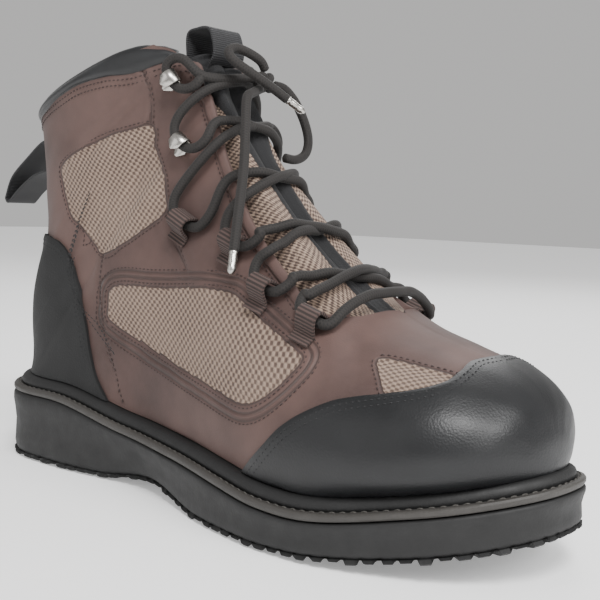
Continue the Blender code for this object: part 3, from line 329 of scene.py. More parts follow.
UPPER_TOP = 1.872
VAMP_END = 0.36  # section number behind the vamp's panels
VAMP_ROWS = 62
EDGE_ROWS = 25
FINE_ROWS = 143
FINE_COLUMNS = 96
PANEL_DEPTH = 0.0011
PANEL_SWELL = 0.0007
SEAM_DEPTH = 0.0005
SEAM_RIDGE = 0.0004
RELIEF = 0.0016  # the most that creases and panels may lift or sink the leather
FOLD_STEP = 0.0056  # from the side panel's edge out to its raised fold
CAP_THICK = 0.0019
CAP_BASE = 0.0002  # from the leather to an overlay
CAP_LEAST = 0.0002  # an overlay's thickness at its edge
TOE_RIM = 0.0022  # over which an overlay's edge is rounded
COUNTER_RIM = 0.0020
CUFF_TUCK = 0.0002
CUFF_PUFF = 0.0021
CUFF_CROWN = 0.0020
STRIP_SHARE = 0.080
STITCH = (0.0025, 0.0016, 0.00050)  # pitch, length, width
WELT_STITCH = (0.0042, 0.0030, 0.0007)
STITCH_SHAPE = {
    "along": (-0.5, -0.34, 0.0, 0.34, 0.5),
    "radius": (0.25, 0.85, 1.0, 0.85, 0.25),
    "rise": (-0.8, 0.2, 0.7, 0.2, -0.8),
}
THREAD_LIFT = 0.0002
PANEL_STITCH = 0.0020  # from an edge or a seam to its thread
VAMP_STITCH = 0.0018
FOLD_STITCH = 0.0028
SEAM_STITCH = 0.0017
CUFF_STITCHES = (0.0022, 0.0048)
CAP_STITCHES = (0.0026, 0.0050)
CORD_PITCH = 0.0011
CORD_SIDES = 14
CORD_END = (0.62, 0.16)  # a cord's rounded end: its width and its bulge over the cord's width
TIP_SHARE = 0.84
TIP_TAPER = (
    1.0, 1.06, 1.0, 0.96, 1.0, 1.0, 1.0, 1.0, 0.98, 0.96, 0.95, 0.98, 1.0, 0.98, 0.92, 0.78, 0.52,
)
WELT_ROWS = 241
SOLE_ROWS = 521
HOOK_SECTION = (
    (-1, -0.45), (-0.92, -1), (0, -1), (0.92, -1), (1, -0.45), (1, 0.45), (0.92, 1), (0, 1), (-0.92, 1),
    (-1, 0.45),
)
SOLE_SIDE = (  # share of the way up, inset
    (0.0, 0.0030), (0.02, 0.0018), (0.06, 0.0011), (0.12, 0.0008), (0.30, 0.0010), (0.50, 0.0012),
    (0.70, 0.0006), (0.84, 0.0), (0.90, 0.0), (0.94, 0.0001), (0.97, 0.0004), (1.0, 0.0012),
)
MOST_U = 1.899


def smoothed_line(points, steps=8, closed=False):
    """Points on a smooth curve through a list of points with two or three numbers each."""
    points = [np.array(p, float) for p in points]
    if closed:
        points = [points[-1], *points, points[0], points[1]]
    else:
        points = [2 * points[0] - points[1], *points, 2 * points[-1] - points[-2]]
    line = []
    for a, b, c, d in zip(points, points[1:], points[2:], points[3:]):
        for k in range(steps):
            t = k / steps
            line.append(0.5 * (2 * b + (c - a) * t + (2 * a - 5 * b + 4 * c - d) * t**2
                               + (3 * b - a - 3 * c + d) * t**3))
    if not closed:
        line.append(points[-2])
    return np.array(line)


def soft(low, high, at):
    """0 below low, 1 above high, and a soft step between."""
    t = np.clip((np.asarray(at, float) - low) / (high - low), 0, 1)
    return t * t * (3 - 2 * t)


def hump(at, width):
    """1 at 0, falling softly to 0 at width either side."""
    t = np.clip(np.abs(at) / width, 0, 1)
    return (1 - t * t) ** 2


def run_along(points):
    """Distance along a line of points, from 0 at the first."""
    steps = np.linalg.norm(np.diff(points, axis=0), axis=1)
    return np.concatenate([[0], steps.cumsum()])


def wrapped(rings, count, closed=False, base=0):
    """Faces between rings that follow one another, with count points in each."""
    faces = []
    for r in range(rings if closed else rings - 1):
        a, b = base + r * count, base + (r + 1) % rings * count
        faces += [[a + k, a + (k + 1) % count, b + (k + 1) % count, b + k] for k in range(count)]
    return faces


def end_caps(rings, count):
    """The faces that close the first ring and the last."""
    last = (rings - 1) * count
    return [list(range(count)), list(range(last, last + count))[::-1]]


def inside(outline, u, v):
    """Which places lie inside a closed outline."""
    found = np.zeros(len(u), bool)
    for (u0, v0), (u1, v1) in zip(outline, np.roll(outline, -1, 0)):
        crosses = (v0 > v) != (v1 > v)
        found ^= crosses & (u < u0 + (v - v0) * (u1 - u0) / np.where(v1 == v0, 1e-12, v1 - v0))
    return found


def distances(points, line):
    """Distance of each point from the nearest of a line's closely set points."""
    tree = KDTree(len(line))
    for i, p in enumerate(line):
        tree.insert(p, i)
    tree.balance()
    return np.array([tree.find(p)[2] for p in points])


def on_upper(line, side, lift=0.0):
    """A line of section numbers and ways up, as points on the upper."""
    return lifted(line[:, 0], line[:, 1], np.full(len(line), float(side)), np.full(len(line), lift))


def edge_sign(outline, u, v, side, points):
    """Distance from a closed outline drawn on both sides, above 0 inside it."""
    line = smoothed_line(outline, 10, closed=True)
    off = np.full(len(u), 9.0)
    for s in (-1, 1):
        here = side == s
        off[here] = distances(points[here], on_upper(line, s))
    return np.where(inside(line, u, v), off, -off)


class Grid:
    """A patch of the upper's form with places, faces and cloth coordinates."""

    def __init__(self, u, v, sides=(-1, 1)):
        """u and v hold the places of one side, row by row."""
        rows, columns = u.shape
        index = np.zeros((len(sides), rows, columns), int)
        self.u, self.v, self.side = [], [], []
        seen = {}
        for s, side in enumerate(sides):
            for i in range(rows):
                for j in range(columns):
                    a, b = float(u[i, j]), float(v[i, j])
                    shared = b >= 1 or (b <= 0 and a >= 1) or a <= 0
                    key = (round(a, 6), 0.0 if a <= 0 else round(b, 6), 0 if shared else side)
                    if key not in seen:
                        seen[key] = len(self.u)
                        self.u.append(a)
                        self.v.append(b if a > 0 else 0.0)
                        self.side.append(side)
                    index[s, i, j] = seen[key]
        self.u, self.v, self.side = (np.array(a, float) for a in (self.u, self.v, self.side))
        self.faces = []
        for s, side in enumerate(sides):
            for i in range(rows - 1):
                for j in range(columns - 1):
                    loop = [index[s, i, j], index[s, i, j + 1], index[s, i + 1, j + 1], index[s, i + 1, j]]
                    loop = [p for k, p in enumerate(loop) if p != loop[k - 1]]
                    if len(loop) > 2:
                        self.faces.append(loop if side < 0 else loop[::-1])

    def edges(self):
        """The edges that only one face has, in that face's order."""
        used = {}
        for face in self.faces:
            for k, a in enumerate(face):
                used[(a, face[(k + 1) % len(face)])] = True
        return [(a, b) for a, b in used if (b, a) not in used]

    def points(self, lift):
        """The patch's points at a lift off the form."""
        return lifted(self.u, self.v, self.side, np.broadcast_to(lift, self.u.shape))

    def solid(self, name, outer, inner, material, lining=None, values=None):
        """The closed piece between two lifts. values are numbers for each place, kept on the mesh."""
        count = len(self.u)
        points = np.concatenate([self.points(outer), self.points(inner)])
        faces = [list(f) for f in self.faces]
        faces += [[count + i for i in reversed(f)] for f in self.faces]
        faces += [[b, a, count + a, count + b] for a, b in self.edges()]
        obj = piece(name, points, faces, material)
        if lining is not None:
            obj.data.materials.append(lining)
            number = np.zeros(len(faces), np.int32)
            number[len(self.faces):2 * len(self.faces)] = 1
            obj.data.polygons.foreach_set("material_index", number)
        for word, numbers in (values or {}).items():
            made = obj.data.attributes.new(word, "FLOAT", "POINT")
            made.data.foreach_set("value", np.tile(numbers, 2).astype(np.float32))
        set_uv(obj, np.tile(self.cloth(), (2, 1)))
        return obj

    def cloth(self):
        """Places in centimetres for weaves: along the boot and up it, as seen from its side."""
        points = self.points(0.0)
        out = np.where(self.u < VAMP_END, -0.8, 0.45) * np.abs(points[:, 1])
        return np.stack([points[:, 0] + 0.35 * points[:, 2], points[:, 2] + out], 1) * 100


def set_uv(obj, places):
    """Writes a place for each point into the mesh's texture map."""
    corner = np.zeros(len(obj.data.loops), np.int32)
    obj.data.loops.foreach_get("vertex_index", corner)
    layer = obj.data.uv_layers.new(name="cloth")
    layer.data.foreach_set("uv", np.asarray(places, np.float32)[corner].ravel())


def piece(name, points, faces, material, angle=40):
    """A mesh piece whose points come in the boot's own lengths."""
    data = bpy.data.meshes.new(name)
    data.from_pydata([tuple(p) for p in np.asarray(points) - (ORIGIN_X, 0, 0)], [], faces)
    data.validate()
    data.update()
    data.shade_smooth()
    data.set_sharp_from_angle(angle=math.radians(angle))
    data.materials.append(material)
    obj = bpy.data.objects.new(name, data)
    bpy.context.collection.objects.link(obj)
    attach(obj, "root")
    return obj


class Shader:
    """A Principled material whose nodes are added by name."""

    def __init__(self, name, **sockets):
        self.material = bpy.data.materials.new(name)
        self.material.use_nodes = True
        self.tree = self.material.node_tree
        self.main = self.tree.nodes["Principled BSDF"]
        for word, value in sockets.items():
            self.main.inputs[word.replace("_", " ")].default_value = value

    def feed(self, socket, value):
        """Links a socket to a value, or sets it to a number or a colour."""
        if isinstance(value, bpy.types.NodeSocket):
            self.tree.links.new(value, socket)
        elif isinstance(value, tuple):
            socket.default_value = (*value, 1)
        else:
            socket.default_value = value

    def node(self, kind, inputs=None, **settings):
        """A node with its settings, its inputs named or numbered."""
        made = self.tree.nodes.new("ShaderNode" + kind)
        for word, value in settings.items():
            setattr(made, word, value)
        for key, value in (inputs or {}).items():
            self.feed(made.inputs[key], value)
        return made

    def math(self, operation, a, b=0.0, c=0.0):
        """The result of a sum on up to three numbers."""
        return self.node("Math", {0: a, 1: b, 2: c}, operation=operation).outputs[0]

    def mix(self, share, a, b):
        """Colours a and b mixed by a share."""
        return self.node("Mix", {0: share, 6: a, 7: b}, data_type="RGBA").outputs[2]

    def blend(self, share, a, b):
        """Numbers a and b mixed by a share."""
        return self.node("Mix", {0: share, 2: a, 3: b}, data_type="FLOAT").outputs[0]

    def ramp(self, value, low, high):
        """A soft step from 0 at low to 1 at high."""
        return self.node("MapRange", {0: value, 1: low, 2: high, 3: 0.0, 4: 1.0},
                         interpolation_type="SMOOTHSTEP").outputs[0]

    def place(self):
        """Places in the object, in metres."""
        return self.node("TexCoord").outputs["Object"]

    def cloth(self):
        """Places along and across the cloth, in centimetres, as two numbers."""
        places = self.node("UVMap", uv_map="cloth").outputs[0]
        return self.node("SeparateXYZ", {0: places}).outputs[:2]

    def noise(self, scale, detail=3.0, rough=0.55):
        """Clouds, from 0 to 1."""
        inputs = {"Vector": self.place(), "Scale": scale, "Detail": detail, "Roughness": rough}
        return self.node("TexNoise", inputs).outputs["Fac"]

    def cells(self, scale):
        """Distance from the middles of scattered cells."""
        return self.node("TexVoronoi", {"Vector": self.place(), "Scale": scale}).outputs["Distance"]

    def value(self, word):
        """A number kept on the mesh."""
        return self.node("Attribute", attribute_name=word).outputs["Fac"]

    def colour(self, socket):
        """Sets the base colour."""
        self.tree.links.new(socket, self.main.inputs["Base Color"])

    def roughness(self, socket):
        """Sets the roughness."""
        self.tree.links.new(socket, self.main.inputs["Roughness"])

    def bump(self, height, distance, strength):
        """Raises the surface's fine relief."""
        made = self.node("Bump", {"Height": height, "Distance": distance, "Strength": strength})
        self.tree.links.new(made.outputs[0], self.main.inputs["Normal"])


def weave_height(shader, pitch_along, pitch_across):
    """Raised dots in a diagonal net, on the cloth's own places in centimetres."""
    waves = []
    for socket, pitch in zip(shader.cloth(), (pitch_along, pitch_across)):
        turn = shader.math("MULTIPLY", socket, math.pi / pitch)
        waves.append(shader.math("SINE", turn))
    both = shader.math("MULTIPLY", waves[0], waves[1])
    fine = shader.math("MULTIPLY", shader.noise(2600, 2), 0.35)
    return shader.math("ADD", shader.math("MULTIPLY_ADD", both, 0.5, 0.5), fine)


NUBUCK_DARK = (0.045, 0.0230, 0.0190)
NUBUCK_LIGHT = (0.098, 0.055, 0.046)
MESH_LIGHT = (0.270, 0.195, 0.150)
MESH_DARK = (0.070, 0.042, 0.032)
MESH_CLOUD = (0.30, 0.22, 0.17)
NAP_BROWN = (0.075, 0.045, 0.040)
# The colour of the painted shade laid in the upper's seams, grooves and panel rims
SEAM_PAINTED_SHADE = (0.020, 0.011, 0.009)
TONGUE_SHADE = (0.050, 0.030, 0.024)
TONGUE_TAN = (0.310, 0.225, 0.170)
STRIP_BLACK = (0.007, 0.007, 0.008)


def nubuck_colour(shader):
    """Clouded brown with a lighter nap."""
    cloud = shader.ramp(shader.noise(22, 4), 0.30, 0.72)
    nap = shader.ramp(shader.noise(420, 3), 0.25, 0.75)
    base = shader.mix(cloud, NUBUCK_DARK, NUBUCK_LIGHT)
    return shader.mix(shader.math("MULTIPLY", nap, 0.22), base, NAP_BROWN)


def nubuck():
    """Plain nubuck, for the throat's edges."""
    made = Shader("nubuck", Roughness=0.72, Sheen_Weight=0.06, Sheen_Roughness=0.45)
    made.colour(nubuck_colour(made))
    made.bump(made.noise(1500, 4), 0.00022, 0.55)
    return made.material


def upper_leather():
    """Nubuck with the mesh panels let into it."""
    made = Shader("upper_leather", Roughness=0.74, Sheen_Weight=0.06, Sheen_Roughness=0.45)
    mask = made.ramp(made.value("mesh"), -0.0002, 0.0002)
    height = weave_height(made, 0.168, 0.148)
    dots = made.mix(made.ramp(height, 0.38, 0.92), MESH_DARK, MESH_LIGHT)
    cloud = made.ramp(made.noise(30, 3), 0.3, 0.7)
    dots = made.mix(made.math("MULTIPLY", cloud, 0.18), dots, MESH_CLOUD)
    # Painted shade: the seam, groove and rim masks darken the nubuck along its seams, in the grooves either
    # side of the fold's ridge and at the mesh panels' sunk rims
    seam = made.ramp(made.value("seam"), 0.0010, 0.0002)
    off_fold = made.math("ABSOLUTE", made.math("ADD", made.value("fold"), FOLD_STEP))
    ridge = made.ramp(off_fold, 0.0013, 0.0002)
    groove = made.ramp(made.math("ABSOLUTE", made.math("SUBTRACT", off_fold, 0.0016)), 0.0008, 0.0)
    rim = made.ramp(made.math("ABSOLUTE", made.math("ADD", made.value("mesh"), 0.0006)), 0.0009, 0.0)
    lines = made.math("MAXIMUM", made.math("MAXIMUM", seam, groove), rim)
    leather = made.mix(made.math("MULTIPLY", lines, 0.60), nubuck_colour(made), SEAM_PAINTED_SHADE)
    made.colour(made.mix(mask, leather, dots))
    made.roughness(made.blend(mask, 0.70, 0.86))
    nap = made.math("MULTIPLY", made.noise(1500, 4), 0.16)
    proud = made.math("MULTIPLY_ADD", ridge, 1.6, nap)
    proud = made.math("MULTIPLY_ADD", lines, -0.7, proud)
    made.bump(made.blend(mask, proud, height), 0.00065, 0.8)
    return made.material


def tongue_mesh():
    """Flecked tan mesh with a dark middle strip."""
    made = Shader("tongue_mesh", Roughness=0.85, Sheen_Weight=0.05)
    fleck = made.math("MULTIPLY", made.noise(900, 3), 1.5)
    height = made.math("MULTIPLY", weave_height(made, 0.105, 0.090), fleck)
    tan = made.mix(made.ramp(height, 0.22, 0.80), TONGUE_SHADE, TONGUE_TAN)
    strip = made.ramp(made.value("strip"), 0.45, 0.55)
    made.colour(made.mix(strip, tan, STRIP_BLACK))
    made.bump(made.blend(strip, height, made.noise(1800, 2)), 0.00055, 0.7)
    return made.material


def coated_leather(name, colour, shine, bump=0.00016):
    """Smooth coated leather with a fine pebble and a soft, uneven gloss."""
    made = Shader(name, Roughness=shine, Specular_IOR_Level=0.45)
    cloud = made.ramp(made.noise(26, 4), 0.30, 0.75)
    lighter = tuple(min(c * 1.9 + 0.003, 1) for c in colour)
    made.colour(made.mix(made.math("MULTIPLY", cloud, 0.55), colour, lighter))
    made.roughness(made.blend(made.noise(60, 3), shine - 0.08, shine + 0.12))
    pebble = made.math("MULTIPLY_ADD", made.noise(520, 4), 0.8, made.cells(1144))
    made.bump(pebble, bump, 0.6)
    return made.material


def rubber(name, colour, shine=0.62, dust=0.25):
    """Matt rubber with grey wear."""
    made = Shader(name, Roughness=shine)
    worn = made.ramp(made.noise(45, 5, 0.65), 0.45, 0.80)
    grey = tuple(c * 1.8 + 0.010 for c in colour)
    made.colour(made.mix(made.math("MULTIPLY", worn, dust), colour, grey))
    made.roughness(made.blend(made.noise(140, 4), shine - 0.10, shine + 0.16))
    made.bump(made.math("MULTIPLY_ADD", made.noise(90, 3), 0.6, made.noise(900, 4)), 0.00018, 0.7)
    return made.material


def ribbed_cloth(name, colour, light, pitch, across=0.0, shine=0.80, depth=0.00035):
    """Webbing or lace: ribs that run slantwise both ways, on the piece's own cloth places, their tops
    painted lighter as painted highlight and their grooves darker as painted shade.
    """
    made = Shader(name, Roughness=shine, Sheen_Weight=0.04)
    ribs = []
    run, side_way = made.cloth()
    for lean in (1, -1):
        slant = made.math("MULTIPLY_ADD", side_way, lean * across, run)
        ribs.append(made.math("SINE", made.math("MULTIPLY", slant, 2 * math.pi / pitch)))
    height = made.math("MULTIPLY_ADD", made.math("MAXIMUM", ribs[0], ribs[1]), 0.5, 0.5)
    fluff = made.math("MULTIPLY", made.noise(1700, 3), 0.45)
    # Painted highlight and shade: the colour runs from colour in the grooves to light on the rib tops; the
    # fluff's fleck is the cloth's own tone
    shade = made.ramp(made.math("ADD", height, fluff), 0.35, 1.2)
    made.colour(made.mix(shade, colour, light))
    made.bump(made.math("ADD", height, fluff), depth, 0.6)
    return made.material


def satin(name, colour):
    """Smooth padded lining cloth."""
    made = Shader(name, Roughness=0.42, Sheen_Weight=0.06, Sheen_Roughness=0.35)
    cloud = made.ramp(made.noise(55, 3), 0.3, 0.7)
    made.colour(made.mix(made.math("MULTIPLY", cloud, 0.5), colour, tuple(c * 2.2 + 0.01 for c in colour)))
    made.bump(made.math("MULTIPLY_ADD", made.noise(2200, 2), 0.3, made.noise(130, 3)), 0.0006, 0.35)
    return made.material


def metal(name, colour, shine):
    """Polished metal with worn, duller places."""
    made = Shader(name, Metallic=1.0, Roughness=shine)
    worn = made.ramp(made.noise(260, 3), 0.45, 0.75)
    made.colour(made.mix(made.math("MULTIPLY", worn, 0.40), colour, tuple(c * 0.45 for c in colour)))
    made.roughness(made.blend(made.noise(300, 3), shine - 0.04, shine + 0.14))
    made.bump(made.noise(400, 2), 0.00002, 0.3)
    return made.material


def thread(name, colour):
    """Twisted thread."""
    made = Shader(name, Roughness=0.7)
    twist = made.ramp(made.noise(2600, 2), 0.3, 0.7)
    made.colour(made.mix(twist, colour, tuple(c * 0.5 for c in colour)))
    made.bump(twist, 0.0001, 0.5)
    return made.material


UPPER = upper_leather()
NUBUCK = nubuck()
TONGUE = tongue_mesh()
CAP = coated_leather("toe_leather", (0.0042, 0.0045, 0.0052), 0.41, bump=0.00009)
COUNTER = coated_leather("heel_leather", (0.0024, 0.0026, 0.0028), 0.66)
CUFF = satin("cuff_satin", (0.0030, 0.0034, 0.0042))
# In each ribbed_cloth below, the second colour is the painted highlight on its rib tops
LINING = ribbed_cloth("lining_cloth", (0.010, 0.010, 0.011), (0.030, 0.030, 0.032), 0.10)
SOLE = rubber("sole_black", (0.0052, 0.0052, 0.0053))
WELT = rubber("welt_grey", (0.034, 0.031, 0.028), 0.55, 0.35)
GUIDE_WEB = ribbed_cloth("guide_webbing", (0.018, 0.010, 0.008), (0.070, 0.042, 0.036), 0.16)
PULL_WEB = ribbed_cloth("pull_webbing", (0.005, 0.005, 0.006), (0.024, 0.024, 0.026), 0.10)
LACE = ribbed_cloth("lace_braid", (0.0028, 0.0023, 0.0020), (0.0125, 0.0098, 0.0085), 0.13, 0.42,
                    depth=0.00014)
STEEL = metal("hook_steel", (0.50, 0.48, 0.45), 0.22)
DARK_THREAD = thread("dark_thread", (0.012, 0.012, 0.013))
BROWN_THREAD = thread("brown_thread", (0.034, 0.018, 0.016))
WELT_THREAD = thread("welt_thread", (0.060, 0.055, 0.048))
FOOTBED = ribbed_cloth("footbed_cloth", (0.014, 0.014, 0.015), (0.05, 0.05, 0.052), 0.12)


# The camera of the photo
CAMERA_AT = (0.4784 - ORIGIN_X, -0.3419, 0.1329)
CAMERA_AIM = (0.16663 - ORIGIN_X, 0.02151, 0.08995)
CAMERA_ROLL = 1.93
CAMERA_LENS = 60.73
LAMP_AIM = 0.09
FLOOR_REACH = 4
camera_data = bpy.data.cameras.new("camera")
camera_data.lens = CAMERA_LENS
camera_data.sensor_width = 36
camera = bpy.data.objects.new("camera", camera_data)
bpy.context.collection.objects.link(camera)
back = (Vector(CAMERA_AT) - Vector(CAMERA_AIM)).normalized()
level = Vector((0, 0, 1)).cross(back).normalized()
upright = back.cross(level)
roll = math.radians(CAMERA_ROLL)
camera_right = level * math.cos(roll) + upright * math.sin(roll)
camera_up = upright * math.cos(roll) - level * math.sin(roll)
turned_axes = Matrix((camera_right, camera_up, back)).transposed().to_4x4()
camera.matrix_world = Matrix.Translation(CAMERA_AT) @ turned_axes
bpy.context.scene.camera = camera


def lamp(name, at, size, power):
    """A round soft lamp that looks at the boot's middle."""
    data = bpy.data.lights.new(name, "AREA")
    data.shape = "DISK"
    data.size = size
    data.energy = power
    obj = bpy.data.objects.new(name, data)
    bpy.context.collection.objects.link(obj)
    obj.location = at
    obj.rotation_euler = (Vector((0, 0, LAMP_AIM)) - Vector(at)).to_track_quat("-Z", "Y").to_euler()


lamp("key", (0.80, -0.60, 1.30), 0.6, 24)
lamp("front", (1.30, -0.05, 0.90), 0.8, 18)
lamp("fill", (-0.35, -1.20, 0.60), 1.0, 3)
lamp("rim", (-0.45, 1.05, 1.05), 0.8, 9)
world = bpy.data.worlds.new("studio")
world.use_nodes = True
world.node_tree.nodes["Background"].inputs[0].default_value = (1.0, 0.99, 0.98, 1)
world.node_tree.nodes["Background"].inputs[1].default_value = 0.55
bpy.context.scene.world = world

floor_mesh = bpy.data.meshes.new("floor")
corners = [(x * FLOOR_REACH, y * FLOOR_REACH, 0) for x, y in ((-1, -1), (1, -1), (1, 1), (-1, 1))]
floor_mesh.from_pydata(corners, [], [(0, 1, 2, 3)])
floor = bpy.data.objects.new("floor", floor_mesh)
bpy.context.collection.objects.link(floor)
floor_paint = Shader("floor_paper", Roughness=0.9, Emission_Color=(1, 1, 1, 1), Emission_Strength=0.30)
floor_paint.colour(floor_paint.mix(floor_paint.noise(3, 2), (0.90, 0.90, 0.90), (0.93, 0.93, 0.93)))
floor.data.materials.append(floor_paint.material)


def throat_edge(u):
    """Share of the way up a section where the upper's opening starts."""
    return 1.0 if u <= THROAT_ROW else float(from_table(THROAT, u))


def tube(name, route, material, width, sides=CORD_SIDES, closed=False, taper=None):
    """A cord along a route of closely set points, with cloth places along and round it."""
    points = np.array([tuple(p) for p in route], float)
    ways = np.gradient(points, axis=0)
    if closed:
        ways = np.roll(points, -1, 0) - np.roll(points, 1, 0)
    ways /= np.linalg.norm(ways, axis=1)[:, None]
    first = np.cross(ways[0], (0, 0, 1) if abs(ways[0][2]) < 0.9 else (1, 0, 0))
    first /= np.linalg.norm(first)
    run = run_along(points)
    rings = []
    places = []
    for i, way in enumerate(ways):
        first = first - way * first.dot(way)
        first /= np.linalg.norm(first)
        second = np.cross(way, first)
        scale = 1.0 if taper is None else taper[i]
        for k in range(sides):
            turn = 2 * math.pi * k / sides
            spoke = first * math.cos(turn) * width / 2 + second * math.sin(turn) * width / 2
            rings.append(points[i] + scale * spoke)
            places.append((run[i] * 100, k / sides * math.pi * width * 100))
    count = len(points)
    faces = wrapped(count, sides, closed)
    if not closed:
        for end, way in ((0, -1), (count - 1, 1)):
            base = len(rings)
            taper_end = 1.0 if taper is None else taper[end]
            for k in range(sides):
                rings.append(points[end] + (rings[end * sides + k] - points[end]) * CORD_END[0]
                             + ways[end] * way * width * CORD_END[1] * taper_end)
                places.append((run[end] * 100, k / sides * math.pi * width * 100))
            for k in range(sides):
                n = (k + 1) % sides
                loop = [end * sides + n, end * sides + k, base + k, base + n]
                faces.append(loop if way < 0 else loop[::-1])
            cap = [base + k for k in range(sides)]
            faces.append(cap[::-1] if way < 0 else cap)
    obj = piece(name, rings, faces, material, 60)
    set_uv(obj, places)
    return obj


def even(points, pitch):
    """Points at an even pitch along a line."""
    points = np.asarray([tuple(p) for p in points], float)
    run = run_along(points)
    count = max(int(round(run[-1] / pitch)), 2)
    want = np.linspace(0, run[-1], count + 1)
    return np.stack([np.interp(want, run, points[:, k]) for k in range(3)], 1)


def relaxed(points, passes):
    """The points, each drawn part of the way to its neighbours' middle, ends held."""
    points = np.array(points, float)
    for _ in range(passes):
        points[1:-1] += 0.5 * ((points[:-2] + points[2:]) / 2 - points[1:-1])
    return points


def skin():
    """The upper's leather, with its panels let in and soft creases where the boot bends."""
    rows = np.concatenate([
        np.linspace(0, VAMP_END, VAMP_ROWS),
        np.linspace(0.366, 0.44, EDGE_ROWS + 1)[:-1],
        np.linspace(0.44, UPPER_TOP, FINE_ROWS),
    ])
    share = np.linspace(0, 1, FINE_COLUMNS)
    top = np.array([throat_edge(a) for a in rows])
    grid = Grid(np.repeat(rows[:, None], FINE_COLUMNS, 1), top[:, None] * share[None])
    flat = grid.points(0.0)
    fold = edge_sign(SIDE_PANEL, grid.u, grid.v, grid.side, flat)
    mesh = fold.copy()
    for outline in (ANKLE_PANEL, VAMP_PANEL):
        mesh = np.maximum(mesh, edge_sign(outline, grid.u, grid.v, grid.side, flat))
    seam = np.full(len(grid.u), 9.0)
    for line in (QUARTER_SEAM, COLLAR_SEAM, MIDDLE_SEAM):
        for s in (-1, 1):
            here = grid.side == s
            seam[here] = np.minimum(seam[here], distances(flat[here], on_upper(smoothed_line(line, 12), s)))
    lift = creases(grid.u, grid.v, grid.side)
    lift -= PANEL_DEPTH * soft(-0.0004, 0.0022, mesh)
    lift += PANEL_SWELL * soft(0.0, 0.004, mesh)
    lift -= SEAM_DEPTH * hump(seam, 0.0016)
    lift += SEAM_RIDGE * hump(seam - 0.0030, 0.0022)
    lift = np.clip(lift, -RELIEF, RELIEF)
    lift = np.where((grid.v <= 0) & (grid.u <= 1), 0.0, lift)
    values = {"mesh": mesh, "seam": seam, "fold": fold}
    return grid.solid("upper_leather", lift, -WALL, UPPER, LINING, values)


def creases(u, v, side):
    """Soft troughs and ridges as listed: section number, way up, half widths, depth."""
    lift = np.zeros(len(u))
    for u0, v0, wide, high, lean, depth in CREASES:
        du = u - u0 - lean * (v - v0)
        dv = v - v0
        lift += depth * hump(du, wide) * hump(dv, high)
    ripple = np.sin(31 * u + 9 * v + 2 * side) * np.sin(23 * v - 7 * u + side)
    return lift + 0.00022 * ripple * soft(0.03, 0.16, u)


CREASES = (  # section number, way up, half widths, lean, depth
    (0.560, 0.62, 0.050, 0.17, 0.35, -0.0012),
    (0.600, 0.60, 0.045, 0.16, 0.35, 0.0009),
    (0.480, 0.62, 0.040, 0.12, 0.30, -0.0009),
    (0.345, 0.62, 0.030, 0.20, 0.20, -0.0008),
    (0.372, 0.60, 0.028, 0.16, 0.20, 0.0007),
    (0.900, 0.66, 0.080, 0.10, 0.90, -0.0009),
    (0.990, 0.62, 0.080, 0.12, 0.90, 0.0007),
    (1.560, 0.55, 0.060, 0.35, 0.05, 0.0006),
    (1.480, 0.55, 0.050, 0.30, 0.05, -0.0006),
    (0.760, 0.30, 0.060, 0.18, 0.40, -0.0006),
)


def cap_piece(name, grid, material, line, soft_rim):
    """A patch laid on the upper, its thickness rounded off towards its edge line."""
    rim = np.concatenate([on_upper(line, s, OVERLAY_GAP) for s in (-1, 1)])
    off = distances(grid.points(CAP_BASE), rim)
    rise = np.sqrt(np.clip(1 - (1 - np.clip(off / soft_rim, 0, 1)) ** 2, 0, 1))
    outer = CAP_BASE + CAP_LEAST + (CAP_THICK - CAP_LEAST) * rise
    outer += 0.5 * creases(grid.u, grid.v, grid.side)
    outer = np.maximum(outer, CAP_BASE + CAP_LEAST)
    return grid.solid(name, outer, CAP_BASE, material)


def stitches(name, lines, material, sizes=STITCH):
    """Short threads along lines of (points, outward normals) on the surface."""
    pitch, length, width = sizes
    points = []
    faces = []
    sides = 6
    for line, normals in lines:
        run = run_along(line)
        count = max(int(run[-1] / pitch), 1)
        for k in range(count):
            middle = (k + 0.5) * run[-1] / count
            spots = middle + np.array(STITCH_SHAPE["along"]) * length
            spots = np.clip(spots, 0, run[-1])
            centre = np.stack([np.interp(spots, run, line[:, c]) for c in range(3)], 1)
            normal = np.stack([np.interp(spots, run, normals[:, c]) for c in range(3)], 1)
            normal /= np.linalg.norm(normal, axis=1)[:, None]
            way = np.gradient(centre, axis=0)
            way /= np.linalg.norm(way, axis=1)[:, None] + 1e-12
            across = np.cross(normal, way)
            radius = np.array(STITCH_SHAPE["radius"]) * width / 2
            rise = np.array(STITCH_SHAPE["rise"]) * width / 2
            base = len(points)
            for j in range(5):
                for n in range(sides):
                    turn = 2 * math.pi * n / sides
                    points.append(centre[j] + normal[j] * (rise[j] + radius[j] * math.sin(turn))
                                  + across[j] * radius[j] * math.cos(turn))
            faces += wrapped(5, sides, base=base)
            faces.append([base + n for n in reversed(range(sides))])
            faces.append([base + 4 * sides + n for n in range(sides)])
    return piece(name, points, faces, material, 60)


def surface_line(line, side, lift=0.0):
    """Points and normals along a drawn line on the upper, closely and evenly set."""
    line = np.asarray(line, float)
    points = on_upper(line, side, lift)
    run = run_along(points)
    want = np.arange(0, run[-1], 0.0012)
    u = np.interp(want, run, line[:, 0])
    v = np.interp(want, run, line[:, 1])
    s = np.full(len(u), float(side))
    return lifted(u, v, s, np.full(len(u), lift)), outward(u, v, s)


